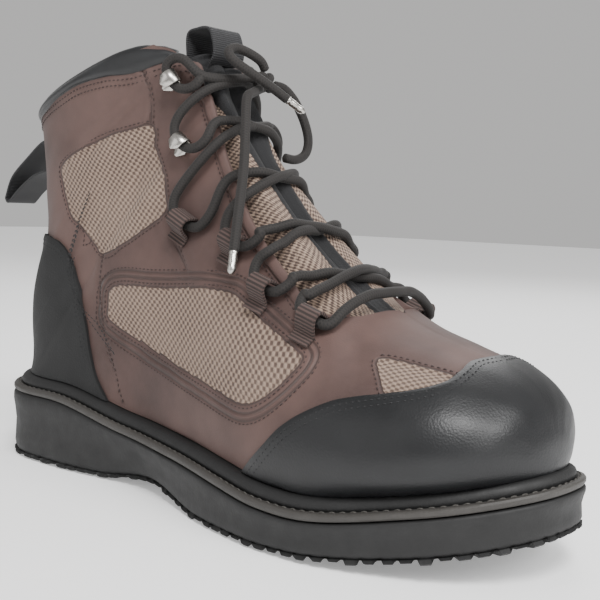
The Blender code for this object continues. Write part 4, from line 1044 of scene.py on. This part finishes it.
def offset_line(line, side, distance, closed=False):
    """A drawn line moved along the upper by a distance, to the left of its own course."""
    line = np.asarray(line, float)
    line = np.stack([line[:, 0], np.clip(line[:, 1], 0.007, 0.995)], 1)
    points = on_upper(line, side)
    normals = outward(line[:, 0], line[:, 1], np.full(len(line), float(side)))
    if closed:
        way = np.roll(points, -1, 0) - np.roll(points, 1, 0)
    else:
        way = np.gradient(points, axis=0)
    left = np.cross(normals, way)
    left /= np.linalg.norm(left, axis=1)[:, None] + 1e-12
    step = 0.002
    here = on_upper(line, side)
    in_u = (on_upper(np.stack([np.clip(line[:, 0] + step, 0, MOST_U), line[:, 1]], 1), side) - here) / step
    in_v = (here - on_upper(np.stack([line[:, 0], np.clip(line[:, 1] - step, 0, 1)], 1), side)) / step
    moved = []
    for k in range(len(line)):
        base = np.stack([in_u[k], in_v[k]], 1)
        found, *_ = np.linalg.lstsq(base, left[k] * distance, rcond=None)
        moved.append(line[k] + found)
    moved = np.array(moved)
    kept = (moved[:, 1] > 0.006) & (moved[:, 1] < 0.998) & (moved[:, 0] < UPPER_TOP)
    return moved[kept]


upper_obj = skin()
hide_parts("upper")


def toe_piece():
    """The big smooth toe cap."""
    ways = np.linspace(0, 1, 90)
    share = np.concatenate([np.linspace(0, 0.86, 62), np.linspace(0.87, 1, 14)])
    ends = from_table(TOE_LINE, ways)
    u = share[:, None] * ends[None]
    v = np.repeat(ways[None], len(share), 0)
    grid = Grid(u, v)
    line = np.stack([from_table(TOE_LINE, np.linspace(0, 1, 160)), np.linspace(0, 1, 160)], 1)
    made = cap_piece("toe_cap_leather", grid, CAP, line, TOE_RIM)
    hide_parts("toe_cap")
    return line


def counter_piece():
    """The matt heel counter."""
    low, high = COUNTER_LINE[0][0], COUNTER_LINE[-1][0]
    rows = np.linspace(low, high, 120)
    tops = from_table(COUNTER_LINE, rows)
    share = np.concatenate([np.linspace(0, 0.84, 44), np.linspace(0.86, 1, 12)])
    u = np.repeat(rows[:, None], len(share), 1)
    v = tops[:, None] * share[None]
    grid = Grid(u, v)
    wide = np.linspace(low, high, 260)
    line = np.stack([wide, from_table(COUNTER_LINE, wide)], 1)
    made = cap_piece("heel_counter_leather", grid, COUNTER, line, COUNTER_RIM)
    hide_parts("heel_counter")
    return line


def cuff_piece():
    """The padded satin cuff: puffed outside, rolled over the edge and down inside."""
    ways = 72
    share = np.linspace(0, 1, ways)
    low = from_table(CUFF_LINE, share)
    high = from_table(CUFF_TOP, share)
    outer = np.linspace(0, 1, 26)
    inner = np.linspace(0, 1, 16)
    crown = np.linspace(0.12, 0.88, 7)
    points = []
    places = []
    lines = [(-1, j) for j in range(ways - 1, -1, -1)] + [(1, j) for j in range(1, ways)]
    for side, j in lines:
        u_low = float(low[j])
        top = float(high[j])
        u = []
        lift = []
        for t in outer:
            u.append(u_low + (top - u_low) * t)
            puff = math.sin(math.pi * min(t * 0.98 + 0.02, 1)) ** 0.6
            lift.append(-CUFF_TUCK + CUFF_PUFF * puff * (1 - 0.35 * t))
        for t in crown:
            u.append(top)
            lift.append(-CUFF_TUCK - COLLAR_PAD / 2 * (1 - math.cos(math.pi * t)))
        depth = 0.13 * float(1 - 0.6 * soft(0.9, 1.0, share[j]))
        for t in inner:
            u.append(top - depth * t)
            lift.append(-COLLAR_PAD - 0.0008 * math.sin(math.pi * t) + 0.0040 * t**3)
        way = [throat_edge(a) * share[j] * 0.999 for a in u]
        line = lifted(u, way, [float(side)] * len(u), lift)
        for k, t in enumerate(crown):
            line[len(outer) + k, 2] += CUFF_CROWN * math.sin(math.pi * t)
        points.append(line)
        places.append(run_along(line))
    faces = wrapped(len(points), len(points[0])) + end_caps(len(points), len(points[0]))
    made = piece("collar_cuff", np.concatenate(points), faces, CUFF, 60)
    across = np.linspace(0, 0.30, len(points))
    set_uv(made, [(a * 100, r * 100) for a, run in zip(across, places) for r in run])
    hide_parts("collar")
    return np.stack([low, share * np.array([throat_edge(a) for a in low])], 1)


def tongue_piece():
    """The padded tongue with its mesh rolls and dark middle strip."""
    rows = np.linspace(0.33, TONGUE_TOP, 150)
    share = np.concatenate([np.linspace(-1, 0, 7)[:-1], np.linspace(0, 1, 36)])
    u = np.repeat(rows[:, None], len(share), 1)
    v = np.zeros_like(u)
    for i, row in enumerate(rows):
        edge = throat_edge(max(row, 0.372))
        low = max(edge - 0.06, 0.62)
        v[i] = np.where(share < 0, edge + share * (edge - low), edge + share * (1 - edge))
    v[:, -1] = 1.0
    grid = Grid(u, v)
    edges = np.array([throat_edge(max(a, 0.372)) for a in grid.u])
    across = np.clip((grid.v - edges) / np.maximum(1 - edges, 1e-6), 0, 1)
    deep = tongue_point_lift(grid.u, grid.v)
    wide = STRIP_SHARE * from_table(((0.33, 1.0), (0.70, 1.0), (1.0, 1.3), (1.3, 1.8)), grid.u)
    strip = np.clip((1 - across) * (1 - edges) / wide, 0, 2)
    dark = 1 - soft(0.92, 1.0, strip)
    dark = np.maximum(dark, soft(1.04, 1.10, grid.u + 0.10 * across))
    lift = deep + 0.0006 * hump(strip - 0.72, 0.22) - 0.0004 * hump(strip - 1.0, 0.10)
    lift += 0.0005 * np.sin(grid.u * 46 + grid.side) * np.sin(across * 3.1)
    made = grid.solid("tongue_cloth", lift, deep - TONGUE_THICK, TONGUE, LINING, {"strip": dark})
    face = grid.points(0.0)
    places = np.stack([face[:, 2] * 1.15, face[:, 1]], 1) * 100
    made.data.uv_layers.remove(made.data.uv_layers["cloth"])
    set_uv(made, np.tile(places, (2, 1)))
    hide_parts("tongue")


def tongue_point_lift(u, v):
    """How deep the tongue lies: tucked under the upper, swollen beside it, sunk in the middle."""
    edge = np.array([throat_edge(a) for a in u])
    across = np.clip((v - edge) / np.maximum(1 - edge, 1e-6), 0, 1)
    roll = from_table(((0.0, 0.0), (TONGUE_ROLL_AT, 1.0), (1.0, 0.0)), across)
    high = TONGUE_ROLL * from_table(((0.40, 0.0), (0.50, 1.0), (1.20, 1.0), (1.30, 0.3), (1.40, 0.0)), u)
    sunk = from_table(((TONGUE_ROLL_AT, 0.0), (0.75, 0.7), (1.0, 1.0)), across)
    depth = TONGUE_SINK * from_table(((0.30, 0.0), (0.40, 0.35), (0.52, 1.0), (0.72, 1.0), (1.2, 0.5),
                                      (1.9, 0.25)), u)
    return -WALL - TONGUE_GAP + high * roll - depth * sunk


def binding_pieces():
    """The folded leather strips along the throat's edges."""
    edges = []
    for word, side in (("lateral", -1), ("medial", 1)):
        rows = np.concatenate([np.linspace(0.385, 0.46, 30), np.linspace(0.47, 1.43, 120)])
        top = np.array([throat_edge(a) for a in rows])
        length = np.array([np.linalg.norm(np.diff(surface(np.full(30, a), np.linspace(0, 1, 30),
                           np.full(30, float(side))), axis=0), axis=1).sum() for a in rows])
        wide = BINDING_WIDTH * soft(0.380, 0.43, rows) + 0.0008
        share = np.array([0.0, 0.06, 0.16, 0.35, 0.55, 0.75, 0.90, 0.97, 1.0])
        high = np.array([0.0001, 0.45, 0.8, 0.95, 1.0, 1.0, 0.85, 0.55, 0.0])
        u = np.repeat(rows[:, None], len(share), 1)
        v = top[:, None] - (wide / length)[:, None] * (1 - share)[None]
        grid = Grid(u, v, (side,))
        lift = np.tile(high, len(rows)) * 0.0013 + 0.0003
        made = grid.solid(f"throat_edge_{word}", lift, 0.0001, NUBUCK)
        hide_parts(f"throat_binding_{word}")
        edges.append((side, np.stack([rows, top - wide / length * 1.25], 1)))
    return edges


toe_edge = toe_piece()
counter_edge = counter_piece()
cuff_edge = cuff_piece()
tongue_piece()
throat_edges = binding_pieces()


side_line = smoothed_line(SIDE_PANEL, 10, closed=True)
# Beside the back seam the sections crowd, so the thread skips the panel's places there.
ankle_line = smoothed_line([place for place in ANKLE_PANEL if place[1] > 0.7 or place[0] == 1.020
                            or not 0.85 < place[0] < 1.15], 10, closed=True)
vamp_line = smoothed_line(VAMP_PANEL, 10, closed=True)
lines_of_thread = []
for side in (-1, 1):
    for base, away in ((side_line, PANEL_STITCH), (side_line, FOLD_STEP + FOLD_STITCH),
                       (ankle_line, PANEL_STITCH), (vamp_line, VAMP_STITCH)):
        tries = [offset_line(base, side, away * way, True) for way in (-1, 1)]
        outer = min(tries, key=lambda line: inside(base, line[:, 0], line[:, 1]).sum())
        lines_of_thread.append(surface_line(outer, side, THREAD_LIFT / 2))
    for line in (QUARTER_SEAM, MIDDLE_SEAM, COLLAR_SEAM):
        beside = offset_line(smoothed_line(line, 10), side, SEAM_STITCH)
        lines_of_thread.append(surface_line(beside, side, THREAD_LIFT))
    for away in CUFF_STITCHES:
        beside = offset_line(cuff_edge[6:], side, away * side)
        lines_of_thread.append(surface_line(beside, side, THREAD_LIFT))
for side, line in throat_edges:
    lines_of_thread.append(surface_line(line, side, THREAD_LIFT))
made = stitches("leather_stitches", lines_of_thread, BROWN_THREAD)
cap_lines = []
for side in (-1, 1):
    for away in CAP_STITCHES:
        for edge, column in ((toe_edge, 0), (counter_edge, 1)):
            tries = [offset_line(edge, side, away * turn) for turn in (-1, 1)]
            inner = min(tries, key=lambda line: line[:, column].mean())
            cap_lines.append(surface_line(inner, side, CAP_THICK + THREAD_LIFT / 2))
made = stitches("overlay_stitches", cap_lines, DARK_THREAD)

KNOT = Vector((0.1490, 0.0110, 0.1915))
END_A = [
    Vector((0.1502, 0.0068, 0.1879)),
    Vector((0.1545, -0.0030, 0.1848)),
    Vector((0.1582, -0.0100, 0.1815)),
    Vector((0.1632, -0.0155, 0.1680)),
    Vector((0.1682, -0.0210, 0.1503)),
    Vector((0.1755, -0.0310, 0.1306)),
    Vector((0.1794, -0.0372, 0.1146)),
]
END_B = [
    Vector((0.1501, 0.0100, 0.1974)),
    Vector((0.1500, 0.0072, 0.2008)),
    Vector((0.1478, 0.0010, 0.2040)),
    Vector((0.1460, -0.0058, 0.2054)),
    Vector((0.1466, -0.0110, 0.2028)),
    Vector((0.1500, -0.0100, 0.1986)),
    Vector((0.1547, -0.0022, 0.1932)),
    Vector((0.1586, 0.0063, 0.1880)),
    Vector((0.1618, 0.0130, 0.1834)),
]
LOOP = [
    Vector((0.1508, 0.0162, 0.1906)),
    Vector((0.1535, 0.0205, 0.1893)),
    Vector((0.1572, 0.0245, 0.1830)),
    Vector((0.1608, 0.0272, 0.1740)),
    Vector((0.1624, 0.0286, 0.1655)),
    Vector((0.1622, 0.0270, 0.1590)),
    Vector((0.1612, 0.0215, 0.1560)),
    Vector((0.1600, 0.0150, 0.1565)),
]


def frame_at(u, v, side):
    """Place on the upper, with its directions away from the throat, up along it and outwards."""
    here = Vector(surface(u, v, side)[0])
    out = Vector(outward(u, v, side)[0])
    down = Vector(surface(u, v - 0.03, side)[0]) - here
    away = (down - out * down.dot(out)).normalized()
    rise = out.cross(away)
    if rise.dot(Vector(surface(u + 0.02, v, side)[0]) - here) < 0:
        rise.negate()
    return here, away, rise, out


def lace_place(u, v, side, away=0.0, rise=0.0, lift=0.0):
    """A point of the lace, from a place on the upper and steps off it."""
    here, away_way, rise_way, out = frame_at(u, v, side)
    return here + away_way * away + rise_way * rise + out * lift


def turn_points(level, side, upwards):
    """The lace's turn round a guide, from its lower side to its upper one or the other way."""
    kind, u, v = GUIDES[level]
    if kind == "hook":
        steps = ((-0.0105, -0.0100, 0.0060), (-0.0020, -0.0074, 0.0053), (0.0005, 0.0, 0.0051),
                 (-0.0020, 0.0074, 0.0053), (-0.0105, 0.0100, 0.0060))
    else:
        steps = ((-0.0105, -0.0110, 0.0045), (-0.0010, -0.0080, 0.0036), (0.0002, 0.0, 0.0034),
                 (-0.0010, 0.0080, 0.0036), (-0.0105, 0.0110, 0.0045))
    if level == len(GUIDES) - 1:
        steps = (*steps[:-1], (-0.0105, 0.0050, 0.0060))
    points = [lace_place(u, v, side, *step) for step in steps]
    return points if upwards else points[::-1]


def crossing_points(low, side, over):
    """The lace's way over the tongue, from a guide up to the next level on the other side."""
    u_low, u_high = GUIDES[low][1], GUIDES[low + 1][1]
    rest = LACE_WIDTH / 2 + OVERLAY + OVERLAY_GAP + 3 * GAP
    ends = []
    for share, s in ((0.30, side), (0.70, -side)):
        u = u_low + share * (u_high - u_low)
        ends.append(lace_place(u, throat_edge(u) - 0.004, s, lift=rest))
    u = (u_low + u_high) / 2
    middle = (ends[0] + ends[1]) / 2
    ridge = lace_place(u, 1.0, -1)
    out = Vector(outward(u, 1.0, -1)[0])
    floor = float(tongue_point_lift(np.array([u]), np.array([1.0]))[0]) + LACE_WIDTH / 2 + 0.0010
    depth = max((middle - ridge).dot(out), floor)
    middle += out * (depth - (middle - ridge).dot(out) + (LACE_WIDTH + 2 * GAP if over else 0))
    return [ends[0], middle, ends[1]]


def lacing_route():
    """The whole lace from the knot, down through the guides, across the vamp and up again."""
    top = len(GUIDES) - 1
    route = [KNOT + Vector((-0.0013, -0.0061, 0.0013)), lace_place(1.15, 0.925, -1, lift=0.0060)]
    side = -1
    for level in range(top, 0, -1):
        route += turn_points(level, side, False)
        route += crossing_points(level - 1, -side, False)[::-1]
        side = -side
    route += turn_points(0, side, False)[:-1]
    for v in (0.74, 0.87):
        route.append(lace_place(0.387, v, side, lift=0.0036))
    route.append(lace_place(0.384, 1.0, side, lift=0.0040))
    for v in (0.87, 0.74):
        route.append(lace_place(0.387, v, -side, lift=0.0036))
    side = -side
    route += turn_points(0, side, True)[1:]
    for level in range(1, top + 1):
        route += crossing_points(level - 1, side, True)
        side = -side
        route += turn_points(level, side, True)
    route += [lace_place(1.15, 0.925, 1, lift=0.0060), KNOT + Vector((-0.0034, 0.0055, 0.0005))]
    return route


def resting_faces():
    """Points and outward normals of what the lace lies on: the upper with its overlays, and the
    tongue inside the throat."""
    points = []
    normals = []
    for u in np.linspace(0.33, TONGUE_TOP, 90):
        edge = throat_edge(u)
        beside = np.linspace(0.55, edge, 26)
        on_tongue = np.linspace(edge + 0.01, 1.0, 14) if edge < 1 else np.zeros(0)
        ways = np.concatenate([beside, on_tongue])
        sunk = tongue_point_lift(np.full(len(on_tongue), u), on_tongue)
        bound = edge - beside < BINDING_SHARE
        lifts = np.concatenate([np.where(bound, OVERLAY_GAP + OVERLAY, 0.0), sunk])
        for side in (-1.0, 1.0):
            points.append(lifted(np.full(len(ways), u), ways, np.full(len(ways), side), lifts))
            normals.append(outward(np.full(len(ways), u), ways, np.full(len(ways), side)))
    return np.concatenate(points), np.concatenate(normals)


def pushed(points, clearance, faces, normals):
    """The points, each moved out until it stands that far off what lies under the lace."""
    moved = []
    for point in points:
        point = Vector(point)
        for _ in range(3):
            near = int(((faces - np.array(point)) ** 2).sum(1).argmin())
            off = (point - Vector(faces[near])).dot(Vector(normals[near]))
            if off < clearance:
                point = point + Vector(normals[near]) * (clearance - off)
        moved.append(point)
    return moved


def curve_through(route, steps=12):
    """Points on a smooth curve through the route."""
    return smoothed_line([tuple(p) for p in route], steps)


rest_faces, rest_normals = resting_faces()
rows_line = pushed(curve_through(lacing_route()), LACE_REST, rest_faces, rest_normals)
rows_line = relaxed(even(rows_line, CORD_PITCH), 14)
made = tube("lace_cord_rows", rows_line, LACE, LACE_WIDTH)
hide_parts("lace_rows")


def braided_knot():
    """The tied knot: three tight turns of the cord wound over one another."""
    turns = []
    for k in range(150):
        t = 2 * math.pi * k / 150
        wave = 2 * t
        reach = KNOT_SIZE / 2 - LACE_WIDTH * 0.42
        radius = reach * (1.05 + 0.45 * math.cos(3 * t))
        turns.append(KNOT + Vector((radius * math.cos(wave) * 0.55, radius * math.sin(wave) * 0.95,
                                    reach * 0.95 * math.sin(3 * t))))
    made = tube("lace_knot_turns", turns, LACE, LACE_WIDTH * 0.92, sides=12, closed=True)
    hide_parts("lace_knot")
    return made


knot = braided_knot()


def lace_cord(name, node, route):
    """A free end or loop of the lace: a cord along its route."""
    line = relaxed(even(curve_through(route), CORD_PITCH), 2)
    made = tube(name, line, LACE, LACE_WIDTH)
    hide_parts(node)
    return made


def lace_tip(name, node, route):
    """The metal tip of a lace end: a rolled tube with a crimped, rounded end."""
    end, before = Vector(route[-1]), Vector(route[-2])
    way = (end - before).normalized()
    start = end + way * GAP
    last = len(TIP_TAPER) - 1
    line = [start + way * (AGLET_LENGTH * k / last) for k in range(last + 1)]
    made = tube(name, line, STEEL, LACE_WIDTH * TIP_SHARE, sides=18, taper=TIP_TAPER)
    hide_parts(node)
    return made


tip_a = lace_tip("lace_tip_a", "aglet_a", END_A)
tip_b = lace_tip("lace_tip_b", "aglet_b", END_B)
lace_cord("lace_end_a_cord", "lace_end_a", END_A)
lace_cord("lace_end_b_cord", "lace_end_b", END_B)
lace_cord("lace_loop_cord", "lace_loop", LOOP)


def swept(name, stations, section, material):
    """A band or bar: its section carried along stations of (centre, first way, second way)."""
    points = []
    for centre, first, second in stations:
        points += [centre + first * a + second * b for a, b in section]
    faces = wrapped(len(stations), len(section)) + end_caps(len(stations), len(section))
    made = piece(name, points, faces, material)
    run = 0.0
    places = []
    for i, (centre, _, _) in enumerate(stations):
        if i:
            run += (centre - stations[i - 1][0]).length
        places += [(run * 100, a * 100) for a, _ in section]
    set_uv(made, places)
    return made


def web_section(width, thick):
    """The section of a strip of webbing: flat, with rolled edges."""
    half = width / 2
    rows = [(-half, -0.25), (-half * 0.97, -0.5), (-half * 0.5, -0.46), (0, -0.46), (half * 0.5, -0.46),
            (half * 0.97, -0.5), (half, -0.25), (half, 0.25), (half * 0.97, 0.5), (half * 0.5, 0.46),
            (0, 0.46), (-half * 0.5, 0.46), (-half * 0.97, 0.5), (-half, 0.25)]
    return [(a, b * thick) for a, b in rows]


def turned(route, across):
    """Stations along a route of points, with the given width direction."""
    stations = []
    for i, here in enumerate(route):
        before = route[max(i - 1, 0)]
        after = route[min(i + 1, len(route) - 1)]
        way = (after - before).normalized()
        stations.append((here, across, way.cross(across)))
    return stations


def band_piece(name, node, route, width, material):
    """A strip of webbing along a route in the boot's middle plane."""
    line = [Vector(p) for p in curve_through(route, 8)]
    made = swept(name, turned(line, Vector((0, 1, 0))), web_section(width, WEBBING), material)
    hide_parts(node)
    return made


def heel_route():
    """The heel loop, from its sewn upper end out, down and back."""
    rise = (COLLAR_BACK - HEEL_TOP) / BACK_TURN
    heights = (HEEL_LOOP_TOP + 0.0030, HEEL_LOOP_TOP, HEEL_LOOP_LOW, HEEL_LOOP_LOW - 0.008)
    numbers = [1 + (z - HEEL_TOP) / rise for z in heights]
    stand = [GAP + WEBBING / 2] * 4
    above, start, end, below = (Vector(p) for p in lifted(numbers, [0.0] * 4, [-1.0] * 4, stand))
    tip = Vector((-HEEL_LOOP_OVERHANG + WEBBING / 2, 0, HEEL_LOOP_LOW - HEEL_LOOP_DROOP))
    return [
        above, start, start + Vector((-0.009, 0, -0.0015)),
        start + Vector((-0.022, 0, -0.0095)), tip + Vector((0.0065, 0, 0.0130)),
        tip + Vector((0.0006, 0, 0.0028)), tip, tip + Vector((0.0030, 0, -0.0012)),
        tip + Vector((0.012, 0, 0.0052)), tip + Vector((0.026, 0, 0.0130)),
        end + Vector((-0.0050, 0, 0.0008)), end + Vector((-0.0006, 0, -0.0010)), below,
    ]


def tongue_line(u):
    """Point of the tongue's face on the middle line."""
    lift = tongue_point_lift(np.array([u]), np.array([1.0]))
    return Vector(lifted([u], [1.0], [-1.0], lift)[0])


def tongue_loop_route():
    """The tongue's loop, from its face over the top and down behind."""
    top = tongue_line(TONGUE_TOP)
    front = tongue_line(TONGUE_TOP - 0.16)
    high = COLLAR_FRONT + TONGUE_LOOP_RISE - WEBBING / 2
    behind = -TONGUE_THICK - 0.0055
    return [
        front + Vector((0.0020, 0, -0.0010)), front + Vector((0.0046, 0, 0.0022)),
        Vector((top[0] + 0.0068, 0, high - 0.0085)), Vector((top[0] + 0.0046, 0, high - 0.0020)),
        Vector((top[0] + 0.0020, 0, high)), Vector((top[0] - 0.0040, 0, high)),
        Vector((top[0] + behind - 0.0018, 0, high - 0.0022)),
        Vector((top[0] + behind - 0.0016, 0, top[2] - 0.0020)),
        Vector((top[0] + behind - 0.0018, 0, top[2] - 0.0100)),
    ]


band_piece("heel_pull_webbing", "heel_pull_loop", heel_route(), HEEL_LOOP_WIDTH, PULL_WEB)
band_piece("tongue_pull_webbing", "tongue_pull_loop", tongue_loop_route(), TONGUE_LOOP_WIDTH, PULL_WEB)


def hook_piece(word, number, u, v, side):
    """A bright steel lace hook: a riveted plate that curls over the lace."""
    here, away, along, out = frame_at(u, v, side)
    length, thick = HOOK_FOOT_LENGTH, HOOK_PLATE_THICK
    radius = HOOK_BORE / 2 + HOOK_SHEET / 2
    centre = here + out * (GAP + HOOK_SEAT + thick + radius)
    route = [centre + away * (length * 0.62) - out * radius, centre + away * (length * 0.3) - out * radius,
             centre - out * radius]
    for k in range(1, 14):
        turn = math.pi * k / 14
        route.append(centre - away * (radius * math.sin(turn)) - out * (radius * math.cos(turn)))
    route += [centre + out * radius, centre + away * 0.0020 + out * radius * 0.97,
              centre + away * 0.0042 + out * (radius - 0.0004)]
    stations = turned(route, along)
    bow = HOOK_SHEET / 2
    points = []
    for point, first, second in stations:
        from_end = (point - route[-1]).length
        round_end = math.sqrt(max(1 - max(1 - from_end / (HOOK_WIDTH * 0.45), 0) ** 2, 0.02))
        from_start = (point - route[0]).length
        round_start = math.sqrt(max(1 - max(1 - from_start / (HOOK_WIDTH * 0.5), 0) ** 2, 0.05))
        half = HOOK_WIDTH / 2 * min(round_end, round_start)
        points += [point + first * a * half + second * b * bow for a, b in HOOK_SECTION]
    faces = wrapped(len(stations), len(HOOK_SECTION)) + end_caps(len(stations), len(HOOK_SECTION))
    made = piece(f"lace_hook_steel_{word}_{number}", points, faces, STEEL, 75)
    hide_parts(f"lace_hook_{word}_{number}")


def guide_piece(word, number, u, v, side):
    """A webbing loop sewn on the eyestay, its tunnel along the throat."""
    here, away, along, out = frame_at(u, v, side)
    rise = LACE_WIDTH + GUIDE_ROOM + WEBBING / 2
    base = GAP + GUIDE_SEAT + WEBBING / 2
    shape = ((0.0105, base), (0.0060, base), (0.0040, rise * 0.6 + base), (0.0020, rise + base),
             (-0.0016, rise + base), (-0.0034, rise * 0.6 + base), (-0.0040, base + 0.0002))
    line = [here + away * a + out * b for a, b in shape]
    stations = turned([Vector(p) for p in curve_through(line, 6)], along)
    made = swept(f"guide_webbing_{word}_{number}", stations, web_section(GUIDE_WIDTH, WEBBING), GUIDE_WEB)
    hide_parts(f"lace_loop_{word}_{number}")


for word, side in (("lateral", -1), ("medial", 1)):
    for number, (kind, section, way_up) in enumerate(GUIDES):
        make = hook_piece if kind == "hook" else guide_piece
        make(word, number + 1, section, way_up, side)


def outline_loop(inset, rows):
    """Points round the sole at an even step of its turn, set in by inset."""
    turn = np.linspace(0, math.pi, rows)
    share = (1 + np.cos(turn)) / 2
    x = inset + share * (SOLE_LENGTH - 2 * inset)
    lateral, medial = halves(share, inset)
    there = np.stack([x, -lateral], 1)
    home = np.stack([x, medial], 1)[::-1][1:-1]
    return np.concatenate([there, home])


def ring_piece(name, profile, material):
    """A closed ring whose profile of (inset, height over the welt's foot) runs all round the sole."""
    points = []
    for inset, height in profile:
        loop = outline_loop(inset, WELT_ROWS)
        points.append(np.stack([loop[:, 0], loop[:, 1], top_height(loop[:, 0]) - WELT_DEPTH + height], 1))
    faces = wrapped(len(profile), len(points[0]), closed=True)
    return piece(name, np.concatenate(points), faces, material, 35)


def welt_pieces():
    """The stitched flange with its rolled edge, and the dark bead between it and the upper."""
    inner = LAST_INSET + WALL + WELT_LIP
    flange = ((0.0006, 0.0006), (0.0001, 0.0014), (0.0001, 0.0026), (0.0006, 0.0034), (0.0014, 0.0038),
              (0.0028, 0.0038), (0.0034, 0.0035), (0.0038, 0.0030), (inner, 0.0030), (inner, 0.0006))
    made = ring_piece("welt_flange", flange, WELT)
    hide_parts("welt")
    bead = ((0.0040, 0.0030), (0.0035, 0.0042), (0.0035, 0.0056), (0.0040, 0.0069), (0.0049, 0.0079),
            (0.0060, 0.0084), (0.0072, 0.0085), (inner, 0.0085), (inner, 0.0030))
    made = ring_piece("welt_bead", bead, SOLE)
    loop = outline_loop(0.0021, 481)
    line = np.stack([loop[:, 0], loop[:, 1], top_height(loop[:, 0]) - WELT_DEPTH + 0.0038], 1)
    line = np.concatenate([line, line[:1]])
    up = np.tile((0.0, 0.0, 1.0), (len(line), 1))
    made = stitches("welt_stitches", [(line, up)], WELT_THREAD, WELT_STITCH)


def sole_piece():
    """The rubber sole: a plain wedge with a jagged row of lugs along its lower edge."""
    seat = LAST_INSET + WALL + WELT_LIP + GAP
    rim = outline_loop(0.0, SOLE_ROWS)
    count = len(rim)
    share = rim[:, 0] / SOLE_LENGTH
    tuck = WAIST_TUCK * np.sin(np.pi * np.clip((share - 0.18) / 0.40, 0, 1)) ** 2
    run = run_along(np.concatenate([rim, rim[:1]]))
    teeth = int(round(run[-1] / LUG_PITCH)) * 2
    turn = run[:-1] / run[-1] * teeth
    number = np.floor(turn)
    part = turn - number
    deep = 0.72 + 0.28 * np.sin(number * 2.4 + 1.0) * np.sin(number * 5.7)
    start = 0.10 + 0.05 * np.sin(number * 3.1)
    end = 0.80 + 0.06 * np.sin(number * 4.3)
    tooth = deep * soft(0, 1, (part - start) / 0.09) * (1 - soft(0, 1, (part - end) / 0.09))
    points = []

    def base(x):
        return ground(x) + LUG_DEPTH

    def ring(inset, z, height):
        loop = outline_loop(inset, SOLE_ROWS)
        y = loop[:, 1] - np.sign(loop[:, 1]) * tuck * (1 - height)
        points.append(np.stack([loop[:, 0], y, z(loop[:, 0])], 1))

    ring(LUG_REACH + 0.0010, base, 0.0)
    ring(LUG_REACH, lambda x: base(x) - LUG_DEPTH * tooth, 0.0)
    ring(0.0014, lambda x: base(x) - LUG_DEPTH * tooth, 0.0)
    ring(0.0006, lambda x: base(x) - (LUG_DEPTH - 0.0007) * tooth, 0.0)
    for height, inset in SOLE_SIDE:
        ring(inset if height > 0.05 else 0.0012 + (inset - 0.0012) * (1 - tooth.mean()),
             lambda x, h=height: base(x) + h * (top_height(x) - WELT_DEPTH - base(x)), height)
    ring(seat, lambda x: top_height(x) - WELT_DEPTH, 1.0)
    ring(seat, lambda x: top_height(x) - GAP, 1.0)
    faces = wrapped(len(points), count)
    half = count // 2
    for start_of, flip in ((0, True), ((len(points) - 1) * count, False)):
        loops = [[start_of, start_of + 1, start_of + count - 1]]
        loops += [[start_of + k, start_of + k + 1, start_of + count - k - 1, start_of + count - k]
                  for k in range(1, half - 1)]
        loops.append([start_of + half - 1, start_of + half, start_of + half + 1])
        faces += [loop[::-1] if flip else loop for loop in loops]
    made = piece("sole_rubber_wedge", np.concatenate(points), faces, SOLE, 38)
    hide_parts("outsole")


def tread_piece():
    """The diamond blocks and the two flat pads under the sole, with rounded edges."""
    points = []
    faces = []
    quads = []
    pads = ((HEEL_PAD, 0.14), (BALL_PAD, 0.60))
    for (length, width), share in pads:
        x = share * SOLE_LENGTH
        quads.append([(x + i * length / 2, j * width / 2) for i, j in ((-1, -1), (1, -1), (1, 1), (-1, 1))])
    half = TREAD_BLOCK / 2
    for i in range(1, int(SOLE_LENGTH / TREAD_PITCH)):
        x = (i + 0.25) * TREAD_PITCH
        lateral, medial = halves((x - LUG_REACH) / (SOLE_LENGTH - 2 * LUG_REACH), LUG_REACH)
        room = min(float(lateral), float(medial)) - WAIST_TUCK - half - 0.002
        for j in range(-2, 3):
            y = (j + 0.5 * (i % 2)) * TREAD_PITCH
            near_pad = any(
                abs(x - share * SOLE_LENGTH) < size[0] / 2 + half + PAD_MARGIN
                and abs(y) < size[1] / 2 + half + PAD_MARGIN
                for size, share in pads
            )
            if abs(y) < room and not near_pad:
                quads.append([(x - half, y), (x, y - half), (x + half, y), (x, y + half)])
    for quad in quads:
        middle = np.mean(quad, axis=0)
        base = len(points)
        for inner, rise in ((0.94, 0.0), (1.0, 0.0006), (1.0, LUG_DEPTH + 0.0008)):
            for x, y in quad:
                px, py = middle + (np.array((x, y)) - middle) * inner
                points.append((px, py, float(ground(px)) + rise))
        faces.append([base + 3, base + 2, base + 1, base])
        faces += wrapped(3, 4, base=base)
        faces.append([base + 8, base + 9, base + 10, base + 11])
    made = piece("sole_tread_blocks", points, faces, SOLE, 30)


sole_piece()
tread_piece()
welt_pieces()


def dress(node, material):
    """Gives a CAD node that stays its material."""
    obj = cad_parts[node]
    obj.data.materials.clear()
    obj.data.materials.append(material)


dress("insole", FOOTBED)
